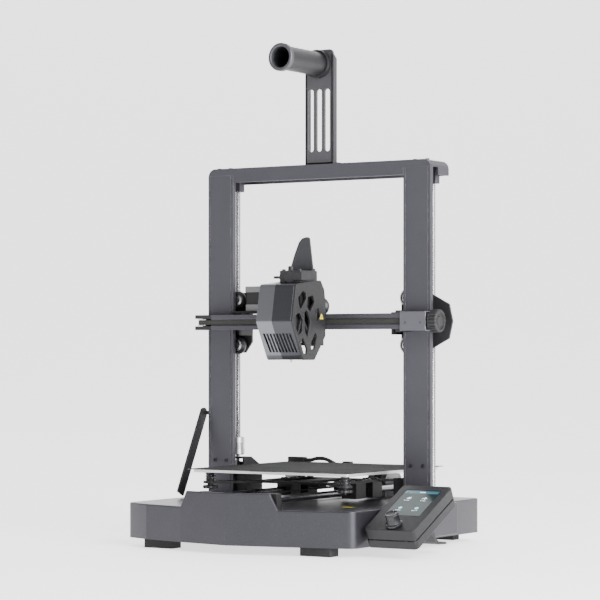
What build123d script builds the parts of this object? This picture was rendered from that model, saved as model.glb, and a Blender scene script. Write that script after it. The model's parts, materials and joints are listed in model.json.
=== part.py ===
from build123d import *
import math
import os

# Desktop filament printer, millimetres, +Z up.
# Every piece is drawn in the tower frame: X = 0 midway between the two columns,
# Y = 0 on their front faces, Z = 0 on the table. save() then moves each piece
# so that the origin lies under the middle of the whole printer.

# ---- driving dimensions ----
overall_width = 420.0
overall_depth = 366.0
left_reach = 187.0          # base side wall, left of the tower centre
front_reach = 204.0         # front edge of the base, ahead of the columns
table_gap = 0.3             # between faces of bodies that move past each other
shaft_gap = 0.05            # radial, on running shafts
seat_gap = 0.1              # radial, on shafts that stay put

# base
foot_height = 11.0
deck_top = 56.0
deck_sheet = 3.0
base_wall = 2.5
base_corner = 13.0
hump_top = 76.0
hump_left = -82.0
hump_right = 62.0
hump_slope = 9.0
hump_wall = 4.0
base_right = 157.0
tower_pocket_right = 175.0
tower_pocket_bottom = 15.0

# columns and top beam
column_centre = 150.8
column_width = 40.0
column_depth = 20.0
flange_depth = 6.0
web_width = 20.0
groove_half = 4.45          # half width of the wheel groove at the surface
groove_depth = 2.7
frame_top = 495.0
beam_height = 19.0
beam_over_column = 9.4
beam_depth = 48.0
beam_wall = 3.0
beam_corner = 11.0

# screws and motors
screw_radius = 4.0
screw_back = 41.0           # distance of the screws behind the column faces
screw_lead = 8.0
motor_width = 42.0
motor_shaft = 2.5
left_motor_base = 60.0
left_motor_height = 34.0
left_cover_top = 109.0
left_coupler_low = 111.0
left_coupler_height = 24.0
right_motor_base = 16.5
right_motor_height = 36.0
right_coupler_low = 57.0
right_coupler_height = 18.0
coupler_grip = 9.0
coupler_radius = 9.5

# gantry
profile_size = 20.0
profile_front = -24.0
profile_z = 289.0
profile_left = -150.0
profile_right = 150.0
slot_half = 3.2
slot_depth = 6.1
v_half = 4.6
v_depth = 1.5
wheel_radius = 12.0
wheel_width = 10.2
wheel_tip = 3.5
wheel_bore = 2.5
wheel_plane = 13.0
wheel_offset = 19.75
wheel_rise = 30.25

# belts
belt_width = 6.0
belt_thick = 1.4
pulley_pitch = 6.366
front_run = -21.6

# print head
head_left = -25.0
head_right = 30.0
nozzle_y = -65.0
nozzle_tip = 236.0

# bed
bed_y = 2.15
flex_size = 245.0
flex_top = 99.2
flex_sheet = 0.8
heated_size = 235.0
heated_sheet = 3.6
rod_x = 50.0
rod_z = 68.5
rod_radius = 4.0
rod_front = -183.0
rod_rear = 150.0

# display
display_width = 69.5
display_length = 110.0
display_thick = 26.0
display_tilt = 26.3
display_front_y = -155.0
display_front_z = 35.0

# spool holder
spool_axis_z = 626.0
bracket_top = 645.0
bracket_width = 43.0
arm_radius = 15.5
arm_bore = 13.5
arm_front = -88.0

right_reach = overall_width - left_reach
display_left = right_reach - display_width
rear_reach = overall_depth - front_reach
shift_x = (left_reach - right_reach) / 2
shift_y = (front_reach - rear_reach) / 2
screw_bearing_low = 466.0
idler_left_x = -168.0
idler_right_x = 166.0
idler_pin = 1.5
nut_seat = 287.0
post_pitch = 4.5
column_inner = column_centre - column_width / 2
x_motor_x = -(column_inner - wheel_radius - motor_width / 2 - 3.8)
x_motor_y = 22.0
x_motor_base = 304.0
cover_left = 140.0
cover_right = 178.0
filament_x = 2.5
filament_bore = 1.1
fan_z = 285.0
lever_x = -12.0
lever_z = 346.0
probe_x = -15.0
probe_y = -45.0
cable_left = -98.0
cable_holder = 26.0
cable_right = -36.0
cable_low = 96.0
cable_radius = 2.6
heated_top = flex_top - flex_sheet - 0.05
arm_plate_front = 7.0
brace_x = -177.75
y_belt_z = 65.0
y_motor_y = 136.0
y_motor_left = 9.5
y_motor_right = 38.0
y_idler_y = -168.0
rocker_x = -112.0
display_seam = 14.0
glass_left = 10.5
glass_right = 60.0
glass_low = 36.0
glass_high = 98.0
knob_x = 37.5
knob_y = 12.0
encoder_radius = 3.0
encoder_sink = 10.0
profile_rear = profile_front + profile_size
profile_y = (profile_front + profile_rear) / 2
profile_low = profile_z - profile_size / 2
profile_high = profile_z + profile_size / 2
rear_run = front_run + 2 * pulley_pitch
idler_y = (front_run + rear_run) / 2


# ---- drawing helpers ----
def block(x0, x1, y0, y1, z0, z1):
    middle = Pos((x0 + x1) / 2, (y0 + y1) / 2, (z0 + z1) / 2)
    return middle * Box(x1 - x0, y1 - y0, z1 - z0)


def rod_along_z(x, y, z0, z1, radius):
    return Pos(x, y, (z0 + z1) / 2) * Cylinder(radius, z1 - z0)


def rod_along_y(x, z, y0, y1, radius):
    return Pos(x, (y0 + y1) / 2, z) * Rot(90, 0, 0) * Cylinder(radius, y1 - y0)


def rod_along_x(y, z, x0, x1, radius):
    return Pos((x0 + x1) / 2, y, z) * Rot(0, 90, 0) * Cylinder(radius, x1 - x0)


def slab_z(points, z0, z1):
    face = make_face(Polyline([(x, y, z0) for x, y in points], close=True))
    return extrude(face, amount=z1 - z0, dir=(0, 0, 1))


def slab_y(points, y0, y1):
    face = make_face(Polyline([(x, y0, z) for x, z in points], close=True))
    return extrude(face, amount=y1 - y0, dir=(0, 1, 0))


def slab_x(points, x0, x1):
    face = make_face(Polyline([(x0, y, z) for y, z in points], close=True))
    return extrude(face, amount=x1 - x0, dir=(1, 0, 0))


def mirrored(points):
    return [(-x, y) for x, y in points]


def rounded_z(shape, radius, low_x=None):
    edges = shape.edges().filter_by(Axis.Z)
    if low_x is not None:
        edges = edges.filter_by(lambda edge: edge.center().X > low_x)
    return fillet(edges, radius)


def save(name, *shapes):
    solids = []
    for shape in shapes:
        solids.extend(shape.solids())
    moved = [Pos(shift_x, shift_y, 0) * solid for solid in solids]
    whole = moved[0] if len(moved) == 1 else Compound(children=moved)
    whole.label = name
    export_step(whole, f"parts/{name}.step")


def v_wheel_shape():
    """A grooved-rail wheel on the Y axis, centred on the origin."""
    half = wheel_width / 2
    tip = wheel_tip / 2
    shoulder = wheel_radius - (half - tip)
    bore = wheel_bore + shaft_gap
    points = [(bore, -half), (shoulder, -half), (wheel_radius, -tip),
              (wheel_radius, tip), (shoulder, half), (bore, half)]
    face = make_face(Polyline([(x, 0, z) for x, z in points], close=True))
    wheel = revolve(face, Axis.Z, 360)
    return Rot(90, 0, 0) * wheel


def belt_line(wheels, outward):
    """Closed line around (x, y, radius, turn) wheels; turn is +1 counter-clockwise."""
    count = len(wheels)
    signed = [turn * (radius + turn * outward) for _, _, radius, turn in wheels]
    leaving = []
    arriving = []
    for i in range(count):
        j = (i + 1) % count
        dx = wheels[j][0] - wheels[i][0]
        dy = wheels[j][1] - wheels[i][1]
        heading = math.atan2(dy, dx) + math.asin((signed[i] - signed[j]) / math.hypot(dx, dy))
        right = (math.sin(heading), -math.cos(heading))
        leaving.append((wheels[i][0] + signed[i] * right[0], wheels[i][1] + signed[i] * right[1]))
        arriving.append((wheels[j][0] + signed[j] * right[0], wheels[j][1] + signed[j] * right[1]))
    edges = []
    for i in range(count):
        x, y, _, turn = wheels[i]
        start = arriving[i - 1]
        end = leaving[i]
        start_angle = math.atan2(start[1] - y, start[0] - x)
        end_angle = math.atan2(end[1] - y, end[0] - x)
        sweep = (turn * (end_angle - start_angle)) % (2 * math.pi)
        middle_angle = start_angle + turn * sweep / 2
        radius = abs(signed[i])
        middle = (x + radius * math.cos(middle_angle), y + radius * math.sin(middle_angle))
        edges.append(ThreePointArc(start, middle, end))
        edges.append(Line(end, arriving[i]))
    return make_face(Wire(edges))


def belt_band(wheels):
    """Flat belt of belt_width, drawn around Z and centred on Z = 0."""
    outer = belt_line(wheels, belt_thick / 2)
    inner = belt_line(wheels, -belt_thick / 2)
    band = extrude(outer - inner, amount=belt_width)
    return Pos(0, 0, -belt_width / 2) * band


def pulley_shape(bore, hub=0.0):
    """Flanged belt pulley around Z, centred on Z = 0, with an optional hub below."""
    drum = pulley_pitch - belt_thick / 2 - seat_gap
    half = belt_width / 2 + table_gap
    body = Cylinder(drum, 2 * half)
    for side in (-1, 1):
        body += Pos(0, 0, side * (half + 0.5)) * Cylinder(pulley_pitch + 1.4, 1.0)
    if hub > 0:
        body += Pos(0, 0, half + 1 + hub / 2) * Cylinder(drum + 1.2, hub)
    return body - Cylinder(bore + shaft_gap, 4 * half + 4 * hub)


def motor_shape(height, shaft_up):
    """Square stepper motor standing on Z = 0, shaft out of its top."""
    can = Box(motor_width, motor_width, height)
    can = chamfer(can.edges().filter_by(Axis.Z), 4.5)
    can = Pos(0, 0, height / 2) * can
    boss = Pos(0, 0, height + 1) * Cylinder(11, 2)
    shaft = Pos(0, 0, height + shaft_up / 2) * Cylinder(motor_shaft, shaft_up)
    return can + boss + shaft


# ---- base ----
def base_outline(inset):
    """Plan of the base: straight back and sides, and a front folded in four places."""
    left = -left_reach + inset
    right = base_right - inset
    rear = rear_reach - inset
    front = [(left, -160), (-146, -176), (-80, -191.5), (-5, -front_reach), (68, -189), (right, -165)]
    return [(left, rear)] + [(x, y + inset) for x, y in front] + [(right, rear)]


def base_slab(inset, z0, z1):
    """The base outline as a slab, with its four outermost upright edges rounded."""
    slab = slab_z(base_outline(inset), z0, z1)
    sides = slab.edges().filter_by(Axis.Z).group_by(Axis.X)
    return fillet(sides[0] + sides[-1], base_corner - inset)


def tower_pocket(grow, z0, z1):
    """Bay beside the right wall that carries the right column and holds its motor."""
    return block(base_right - 30, tower_pocket_right + grow, -25 - grow,
                 screw_back + motor_width / 2 + 3 + grow, z0, z1)


def build_base():
    outer = base_slab(0, foot_height, deck_top)
    hump = slab_z(base_outline(0), deck_top, hump_top)
    hump -= slab_z(base_outline(hump_wall), deck_top - 1, hump_top + 1)
    hump &= slab_y([(hump_left, deck_top), (hump_left + hump_slope, hump_top),
                    (hump_right - hump_slope, hump_top), (hump_right, deck_top)],
                   -front_reach - 5, -150)
    outer += tower_pocket(0, tower_pocket_bottom, deck_top)
    hollow = base_slab(base_wall, foot_height - 1, deck_top - deck_sheet)
    hollow += tower_pocket(-base_wall, tower_pocket_bottom - 1, deck_top - deck_sheet)
    shell = outer - hollow
    shell -= block(y_motor_left - 3.5, y_motor_right + 1, y_motor_y - 22, y_motor_y + 22,
                   deck_top - 5, deck_top + 1)
    shell -= rod_along_z(column_centre, screw_back, deck_top - 5, deck_top + 1, coupler_radius + 2)
    shell -= block(*socket_box())
    return shell, hump


def build_base_plate():
    plate = base_slab(base_wall + 0.2, foot_height, foot_height + 1.5)
    for x in (-110, -60, 20, 70):
        for i in range(6):
            plate -= block(x, x + 30, 60 + 9 * i, 64 + 9 * i, foot_height - 1, foot_height + 3)
    return plate


def build_feet():
    feet = []
    for x0, x1 in ((-151.7, -108.7), (83.5, 126.5)):
        for y0, y1 in ((-172, -152), (140, 157)):
            feet.append(block(x0, x1, y0, y1, 0, foot_height))
    return feet


# ---- tower ----
def build_column(side):
    centre = side * column_centre
    half = column_width / 2
    web = web_width / 2
    top = frame_top - beam_over_column
    column = block(centre - half, centre + half, 0, flange_depth, deck_top, top)
    column += block(centre - web, centre + web, flange_depth, column_depth, deck_top, top)
    for edge in (-1, 1):
        x = centre + edge * web
        inner = x - edge * groove_depth
        bottom_half = groove_half - groove_depth
        column -= slab_z([(x + edge, wheel_plane - groove_half - 1), (inner, wheel_plane - bottom_half),
                          (inner, wheel_plane + bottom_half), (x + edge, wheel_plane + groove_half + 1)],
                         deck_top - 1, top + 1)
        line = centre + edge * (half - 3.5)
        column -= block(line - 0.6, line + 0.6, -1, 0.7, deck_top - 1, top + 1)
    return column


def build_top_beam():
    reach = column_centre + column_width / 2
    low = frame_top - beam_height
    beam = block(-reach, reach, 0, beam_depth, low, frame_top)
    corners = beam.edges().filter_by(Axis.Y).filter_by(lambda edge: edge.center().Z > frame_top - 1)
    beam = fillet(corners, beam_corner)
    inner = reach - beam_wall
    beam -= block(-inner, inner, beam_wall, beam_depth - beam_wall, low - 1, frame_top - beam_wall)
    for side in (-1, 1):
        near = side * (column_centre - column_width / 2 - 0.2)
        far = side * (reach + 1)
        beam -= block(min(near, far), max(near, far), -1, column_depth + 0.3,
                      low - 1, frame_top - beam_over_column)
    return beam


def screw_bearing(side):
    x = side * column_centre
    reach = column_centre + column_width / 2 - beam_wall
    holder = block(x - 8, min(x + 8, reach), screw_back - 7, screw_back + 4, screw_bearing_low, frame_top - beam_wall)
    return holder - rod_along_z(x, screw_back, 0, frame_top - 5, screw_radius + shaft_gap)


def build_spool_bracket():
    half = bracket_width / 2
    front = arm_plate_front
    plate = block(-half, half, front, front + 3, frame_top, bracket_top)
    for side in (-1, 1):
        near = side * (half - 3)
        far = side * half
        plate += block(min(near, far), max(near, far), front, front + 10, frame_top, bracket_top - 6)
    plate += block(-half, half, front, front + 26, frame_top, frame_top + 3)
    for i in (-1, 0, 1):
        slot = block(-3.75 + 12.4 * i, 3.75 + 12.4 * i, front - 1, front + 4, 515.75, 589.75)
        slot += rod_along_y(12.4 * i, 515.75, front - 1, front + 4, 3.75)
        slot += rod_along_y(12.4 * i, 589.75, front - 1, front + 4, 3.75)
        plate -= slot
    return plate


def build_spool_arm():
    root = arm_plate_front
    arm = rod_along_y(0, spool_axis_z, arm_front, root, arm_radius)
    arm += rod_along_y(0, spool_axis_z, arm_front, arm_front + 7, arm_radius + 2.5)
    arm += rod_along_y(0, spool_axis_z, root - 5, root, arm_radius + 3)
    return arm - rod_along_y(0, spool_axis_z, arm_front - 1, root - 8, arm_bore)


def build_brace_bar():
    top = (-1.5, 168.0)
    foot = (-56.0, deck_top + 6)
    angle = math.atan2(top[1] - foot[1], top[0] - foot[0])
    length = math.hypot(top[1] - foot[1], top[0] - foot[0])
    side_x = -column_centre - column_width / 2
    bar = Box(2.5, length, 14)
    bar += Pos(0, length / 2, 0) * Rot(0, 90, 0) * Cylinder(7, 2.5)
    bar = Rot(math.degrees(angle), 0, 0) * bar
    bar = Pos(brace_x, (top[0] + foot[0]) / 2, (top[1] + foot[1]) / 2) * bar
    bar &= block(-200, -150, -100, 40, deck_top, 200)
    spacer = rod_along_x(3.0, top[1], brace_x, side_x, 2.5)
    return bar + spacer


def build_frame_screws():
    screws = []
    for side in (-1, 1):
        for x in (-9, 9):
            screws.append(rod_along_y(side * column_centre + x, 105, -1.4, 0, 2.6))
            screws.append(rod_along_z(side * column_centre + x, 3 + 8, frame_top, frame_top + 1.5, 2.8))
    for x in (-12, 12):
        screws.append(rod_along_z(x, arm_plate_front + 17, frame_top + 3, frame_top + 5, 3.2))
    return screws


def build_motor_mounts():
    """Sheet covers at the column feet; the left one also hides its motor."""
    half = motor_width / 2
    mounts = []
    x0 = -column_centre - half
    x1 = -column_centre + half
    y0 = screw_back - half
    y1 = screw_back + half
    top = left_cover_top
    cover = slab_x([(y0 + 0.3, top - 45), (y0 + 0.3, top), (y0 + 18, top), (y1 + 3, top - 14),
                    (y1 + 3, deck_top), (y0 + 0.3, deck_top)], x0 - 0.5, x1 + 3)
    room = slab_x([(y0 - 1, deck_top - 1), (y0 - 1, top - 2.5), (y0 + 17, top - 2.5),
                   (y1 + 0.6, top - 14), (y1 + 0.6, deck_top - 1)], x0 - 1, x1 + 0.6)
    cover = cover - room
    cover -= rod_along_z(-column_centre, screw_back, top - 10, top + 10, coupler_radius + 2.5)
    mounts.append(cover)
    inner = column_centre - column_width / 2
    for side in (-1, 1):
        near = side * (inner - 0.1)
        far = side * (inner - 18)
        mounts.append(block(min(near, far), max(near, far), flange_depth, column_depth, deck_top, 88))
    return mounts


def build_steppers():
    left = Pos(-column_centre, screw_back, left_motor_base) * motor_shape(
        left_motor_height, left_coupler_low + coupler_grip - left_motor_base - left_motor_height)
    left += block(-column_centre - 15, -column_centre + 15, screw_back - 15, screw_back + 15,
                  deck_top, left_motor_base)
    right = Pos(column_centre, screw_back, right_motor_base) * motor_shape(
        right_motor_height, right_coupler_low + coupler_grip - 1 - right_motor_base - right_motor_height)
    rear = Rot(0, -90, 0) * motor_shape(y_motor_right - y_motor_left, 16)
    rear = Pos(y_motor_right, y_motor_y, y_belt_z) * rear
    return [left, right, rear]


def build_lead_screw(side, coupler_low, coupler_height):
    x = side * column_centre
    coupler_high = coupler_low + coupler_height
    low = coupler_low + coupler_grip + 1
    screw = rod_along_z(x, screw_back, low, frame_top - beam_wall - 4, screw_radius)
    coupler = rod_along_z(x, screw_back, coupler_low, coupler_high, coupler_radius)
    coupler -= rod_along_z(x, screw_back, low, coupler_high + 1, screw_radius)
    coupler -= rod_along_z(x, screw_back, coupler_low - 1, low + 1, motor_shaft + shaft_gap)
    return [screw, coupler]


# ---- bed drive on the base ----
def build_rods():
    return [rod_along_y(side * rod_x, rod_z, rod_front, rod_rear, rod_radius) for side in (-1, 1)]


def build_rod_clamps():
    clamps = []
    for side in (-1, 1):
        for y0, y1 in ((rod_front - 1.5, rod_front + 9), (rod_rear - 12, rod_rear)):
            clamp = block(side * rod_x - 8, side * rod_x + 8, y0, y1, deck_top, rod_z + 7)
            clamps.append(clamp - rod_along_y(side * rod_x, rod_z, rod_front, rod_rear, rod_radius + 0.01))
    half = belt_width / 2 + 2
    fork = block(-half - 4, half + 4, y_idler_y - 6, y_idler_y + 10, deck_top, y_belt_z + 4)
    fork -= block(-half, half, y_idler_y - 9, y_idler_y + 12, deck_top + 0.7, y_belt_z + 9)
    fork += rod_along_x(y_idler_y, y_belt_z, -half - 1, half + 1, 1.5)
    clamps.append(fork)
    return clamps


def along_y_belt(shape):
    """Turns a shape drawn around Z so that its axis lies along X."""
    return Rot(0, 0, 90) * Rot(90, 0, 0) * shape


def build_y_belt():
    wheels = [(y_idler_y, 0, pulley_pitch, 1), (y_motor_y, 0, pulley_pitch, 1)]
    return Pos(0, 0, y_belt_z) * along_y_belt(belt_band(wheels))


# ---- electronics in the base ----
def socket_box():
    return (-150, -98, rear_reach - 30, rear_reach + 1, 18, 48)


def build_power_supply():
    return block(-176, -70, 20, 118, foot_height + 1.5, 50)


def build_mainboard():
    board = block(20, 120, -120, -20, 20, 21.6)
    for x in (24, 116):
        for y in (-116, -24):
            board += rod_along_z(x, y, foot_height + 1.5, 21, 3)
    board += block(30, 50, -110, -90, 21, 34)
    board += block(60, 84, -80, -56, 21, 27)
    return board


def build_power_socket():
    x0, x1, _, _, z0, z1 = socket_box()
    body = block(x0, x1, rear_reach - 28, rear_reach - 0.5, z0, z1)
    body -= block(x0 + 5, x0 + 29, rear_reach - 18, rear_reach, z0 + 5, z1 - 5)
    body -= block(rocker_x - 7.5, rocker_x + 7.5, rear_reach - 14, rear_reach, z0 + 4, z1 - 4)
    for i in (-1, 0, 1):
        body += block(x0 + 16 + 7 * i, x0 + 18 + 7 * i, rear_reach - 19, rear_reach - 6, 31, 35)
    for side in (-1, 1):
        body += rod_along_x(rear_reach - 6.5, 33, rocker_x + side * 8 - 2, rocker_x + side * 8 + 2, 1.5)
    return body


def build_rocker():
    middle_y = rear_reach - 6.5
    shape = slab_x([(middle_y - 3, 26.0), (middle_y + 3.4, 24.6), (middle_y + 3.0, 33.0),
                    (middle_y + 4.6, 41.4), (middle_y - 3, 40.0)], rocker_x - 5.6, rocker_x + 5.6)
    return shape - rod_along_x(middle_y, 33, rocker_x - 9, rocker_x + 9, 1.5 + shaft_gap)


# ---- display ----
def on_display(shape):
    """From panel coordinates (X across, Y up the slope, Z out of the glass)."""
    return Pos(display_left, display_front_y, display_front_z) * Rot(display_tilt, 0, 0) * shape


def build_display_upper():
    depth = display_seam
    shell = block(0, display_width, 0, display_length, -depth, 0)
    shell = fillet(shell.edges().filter_by(Axis.Z), 5)
    shell -= block(2.2, display_width - 2.2, 2.2, display_length - 2.2, -depth - 1, -2.2)
    shell -= block(*glass_box(0.15, -1.2))
    shell -= block(*glass_box(-3, -3))
    shell -= rod_along_z(knob_x, knob_y, -5, 1, encoder_radius + shaft_gap)
    return on_display(shell)


def glass_box(grow, low):
    return (glass_left - grow, glass_right + grow, glass_low - grow, glass_high + grow, low, 1)


def build_display_glass():
    return on_display(block(glass_left, glass_right, glass_low, glass_high, -1.2, 0))


def build_display_lower():
    depth = display_thick
    tray = block(0, display_width, 0, display_length, -depth, -display_seam)
    tray = fillet(tray.edges().filter_by(Axis.Z), 5)
    tray -= block(2.2, display_width - 2.2, 2.2, display_length - 2.2, -depth + 2.2, 0)
    encoder = block(knob_x - 6, knob_x + 6, knob_y - 6, knob_y + 6, -depth + 2.2, -encoder_sink - 0.7)
    tray += encoder
    hook_y0 = -66.0
    bracket = block(base_right, display_left, -118, -84, 35.5, 47)
    hook = slab_x([(-96, 42), (hook_y0, 30), (-58, 19), (-52, 15.2), (-34, 13.4), (-30, 11.2),
                   (-34, 10.4), (-54, 11.4), (-62, 15), (-72, 26), (-96, 38)],
                  display_left + 25, display_left + 48)
    tray_solid = on_display(tray)
    return [tray_solid, bracket - tray_solid, hook - tray_solid]


def build_encoder_shaft():
    return on_display(rod_along_z(knob_x, knob_y, -encoder_sink, 11, encoder_radius))


def build_control_knob():
    knob = rod_along_z(knob_x, knob_y, 1.2, 17, 10.5)
    knob -= rod_along_z(knob_x, knob_y, 1, 11.3, encoder_radius + shaft_gap)
    return on_display(knob)


# ---- gantry ----
def build_x_profile():
    bar = block(profile_left, profile_right, profile_front, profile_rear, profile_low, profile_high)
    reach = profile_size / 2
    groove = [(reach + 1, v_half + 1), (reach - v_depth, slot_half), (reach - slot_depth, slot_half),
              (reach - slot_depth, -slot_half), (reach - v_depth, -slot_half), (reach + 1, -v_half - 1)]
    cutter = slab_x(groove, profile_left - 1, profile_right + 1)
    for turn in (0, 90, 180, 270):
        bar -= Pos(0, profile_y, profile_z) * Rot(turn, 0, 0) * cutter
    return bar - block(x_motor_x - 17, x_motor_x + 17, rear_run - 0.6, profile_rear + 1,
                       profile_low - 1, profile_high + 1)


def wheel_places(side):
    """The three column wheels of one side as (x, z)."""
    centre = side * column_centre
    inner = centre - side * wheel_offset
    outer = centre + side * wheel_offset
    return [(inner, profile_z + wheel_rise), (inner, profile_z - wheel_rise), (outer, profile_z)]


def gantry_bracket(side, outer_reach, fork_end):
    rear0 = column_depth + 2
    inner = column_centre - column_width / 2 - wheel_radius - 0.2
    tall = wheel_rise + 10
    outline = [(inner - 3.2, profile_z - 26), (126, profile_z - tall), (150, profile_z - tall),
               (outer_reach - 5, profile_z - 22), (outer_reach, profile_z),
               (outer_reach - 5, profile_z + 22), (150, profile_z + tall), (126, profile_z + tall),
               (inner - 3.2, profile_z + 26)]

    def mirror_block(x0, x1, y0, y1, z0, z1):
        return block(min(side * x0, side * x1), max(side * x0, side * x1), y0, y1, z0, z1)

    bracket = slab_y([(side * x, z) for x, z in outline], rear0, rear0 + 3)
    bracket += mirror_block(inner - 3.2, inner, profile_rear, rear0, profile_low - 7, profile_high + 1.8)
    bracket += mirror_block(inner - 3.2, fork_end, profile_rear, -0.9, profile_low, profile_high)
    bracket += mirror_block(profile_right, fork_end, profile_front, profile_rear, profile_high - 5, profile_high)
    bracket += mirror_block(profile_right, fork_end, profile_front, profile_rear, profile_low, profile_low + 5)
    idler_x = idler_left_x if side < 0 else idler_right_x
    bracket += rod_along_z(idler_x, idler_y, profile_low + 4, profile_high - 4, idler_pin)
    screw_x = side * column_centre
    bracket += block(screw_x - 10, screw_x + 10, rear0 + 2, screw_back + 11, nut_seat - 4, nut_seat)
    bracket -= rod_along_z(screw_x, screw_back, nut_seat - 5, nut_seat + 1, 5.3)
    for x, z in wheel_places(side):
        bracket += rod_along_y(x, z, flange_depth + 0.4, rear0 + 1, wheel_bore)
        bracket += rod_along_y(x, z, flange_depth + 0.4, flange_depth + 1.6, 4.5)
        bracket += rod_along_y(x, z, wheel_plane + wheel_width / 2 + table_gap, rear0 + 1, 4.2)
    return bracket


def build_nut(side):
    x = side * column_centre
    nut = rod_along_z(x, screw_back, nut_seat, nut_seat + 3.5, 11)
    nut += rod_along_z(x, screw_back, nut_seat - 10, nut_seat, 5.1)
    return nut - rod_along_z(x, screw_back, nut_seat - 12, nut_seat + 5, screw_radius + shaft_gap)


def guide_posts():
    swing = pulley_pitch + post_pitch
    return [(x_motor_x - swing, rear_run + post_pitch), (x_motor_x + swing, rear_run + post_pitch)]


def build_left_bracket():
    bracket = gantry_bracket(-1, 184.0, 176.0)
    low = profile_high + 1.8
    bracket += block(0.8 - column_inner, x_motor_x + 24, rear_run + 0.9, x_motor_y + 22, low, x_motor_base)
    bracket -= rod_along_z(x_motor_x, x_motor_y, low - 1, x_motor_base + 1, 12)
    for x, y in guide_posts():
        bracket += rod_along_z(x, y, profile_low + 5.5, x_motor_base, post_pitch - belt_thick / 2 - seat_gap)
    return [bracket, build_nut(-1)]


def build_right_bracket():
    bracket = gantry_bracket(1, 190.0, cover_right)
    bracket += block(cover_right, cover_right + 2.4, profile_front, -0.9, profile_low, profile_high)
    bracket -= rod_along_x(profile_y, profile_z, cover_right - 1, cover_right + 3, 2.5 + shaft_gap)
    lip = block(cover_left - 7, cover_left - 0.2, profile_front, -0.9, profile_low - 3.7, profile_high + 3.7)
    lip -= block(cover_left - 8, cover_left, profile_front - 1, profile_rear, profile_low, profile_high)
    return [bracket + lip, build_nut(1)]


def build_x_motor():
    return Pos(x_motor_x, x_motor_y, x_motor_base + 33) * Rot(180, 0, 0) * motor_shape(33, 21)


def x_belt_wheels():
    posts = guide_posts()
    return [(idler_right_x, idler_y, pulley_pitch, 1), (*posts[1], post_pitch, -1),
            (x_motor_x, x_motor_y, pulley_pitch, 1), (*posts[0], post_pitch, -1),
            (idler_left_x, idler_y, pulley_pitch, 1)]


def build_x_belt():
    return Pos(0, 0, profile_z) * belt_band(x_belt_wheels())


def build_tensioner_cover():
    cover = block(cover_left, cover_right, profile_front - 2.4, profile_rear,
                  profile_low - 2.4, profile_high + 2.4)
    return cover - block(cover_left - 1, cover_right + 1, profile_front, profile_rear + 1,
                         profile_low, profile_high)


def build_tensioner_knob():
    x0 = cover_right + 2.4 + table_gap
    knob = rod_along_x(profile_y, profile_z, x0, x0 + 12, 14.5)
    for i in range(18):
        angle = 2 * math.pi * i / 18
        knob -= rod_along_x(profile_y + 15 * math.cos(angle), profile_z + 15 * math.sin(angle),
                            x0 + 1.5, x0 + 13, 1.4)
    return knob + rod_along_x(profile_y, profile_z, idler_right_x + 9, x0, 2.5)


# ---- print head ----
def head_outline(back):
    return [(back, 270.5), (back, 313), (back - 2.7, 330), (-37, 342), (-96, 336), (-105, 288),
            (-82, 245.5), (-78, 239.5), (-52, 239.5)]


def carriage_wheels():
    middle = (head_left + head_right) / 2
    rise = profile_size / 2 + wheel_radius - 2.2
    return [(middle - 13.5, profile_z + rise), (middle + 13.5, profile_z + rise), (middle, profile_z - rise)]


def build_carriage_plate():
    front = profile_front - 4
    plate = block(head_left + 3, head_right - 3.2, front, front + 3, 258, 322)
    for x, z in carriage_wheels():
        plate += rod_along_y(x, z, front + 1, profile_y + wheel_width / 2 + 1.7, wheel_bore)
        plate += rod_along_y(x, z, front + 1, profile_y - wheel_width / 2 - table_gap, 4.2)
        plate += rod_along_y(x, z, profile_y + wheel_width / 2 + 0.3, profile_y + wheel_width / 2 + 1.7, 4.3)
    return plate


def build_extruder_body():
    back = profile_front - 4
    body = block(-12, 20, -70, back, 306, 339)
    body += block(-8, 24, -76, -36, 338, 354)
    body += rod_along_z(filament_x, nozzle_y, 353, 360, 4)
    for y0, y1 in ((-64, -61), (-51, -48)):
        body += block(lever_x - 4, -7, y0, y1, 342.5, 350)
    body += rod_along_y(lever_x, lever_z, -62, -50, 2)
    body -= rod_along_z(filament_x, nozzle_y, 300, 361, filament_bore)
    frame = block(filament_x - 20, filament_x + 20, -87, -75, fan_z - 20, fan_z + 20)
    frame -= rod_along_y(filament_x, fan_z, -88, -74, 18.5)
    frame += block(filament_x - 19, filament_x + 19, -77, -75, fan_z - 2, fan_z + 2)
    frame += rod_along_y(filament_x, fan_z, -77, -75, 8)
    frame += rod_along_y(filament_x, fan_z, -86.5, -75, 1.5)
    return [body, frame]


def build_hotend():
    sink = block(filament_x - 10, filament_x + 10, -75, -55, 262, 306)
    for i in range(7):
        z = 266 + 5.4 * i
        sink -= block(filament_x - 11, filament_x - 4, -76, -54, z, z + 2.6)
        sink -= block(filament_x + 4, filament_x + 11, -76, -54, z, z + 2.6)
    sink += rod_along_z(filament_x, nozzle_y, 255, 263, 2)
    sink += block(filament_x - 10, filament_x + 10, -73, -56, 244, 256)
    tip = Pos(filament_x, nozzle_y, nozzle_tip + 4) * Rot(180, 0, 0) * Cone(4, 0.8, 8)
    return sink + tip


def build_head_cover():
    outline = [(y, z) for y, z in head_outline(profile_front - 1.3)]
    shell = slab_x(outline, head_left, head_right - 3)
    room = [(-20, 272), (-20, 333), (-38, 339.8), (-94.3, 334.1), (-102.9, 288), (-80.2, 246.6),
            (-76, 236), (-52, 236)]
    shell -= slab_x(room, head_left + 2, head_right)
    shell -= block(-14, head_right, -80, -34, 336, 345)
    shell -= block(lever_x - 18, head_right, -65, -47, 342.2, 350)
    for i in range(9):
        x = head_left + 6 + 5.1 * i
        shell -= Pos(x + 1.3, -91, 261) * Rot(28, 0, 0) * Box(2.6, 14, 20)
    shell -= rod_along_y(filament_x, fan_z, -60, -30, 1)
    return shell


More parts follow.
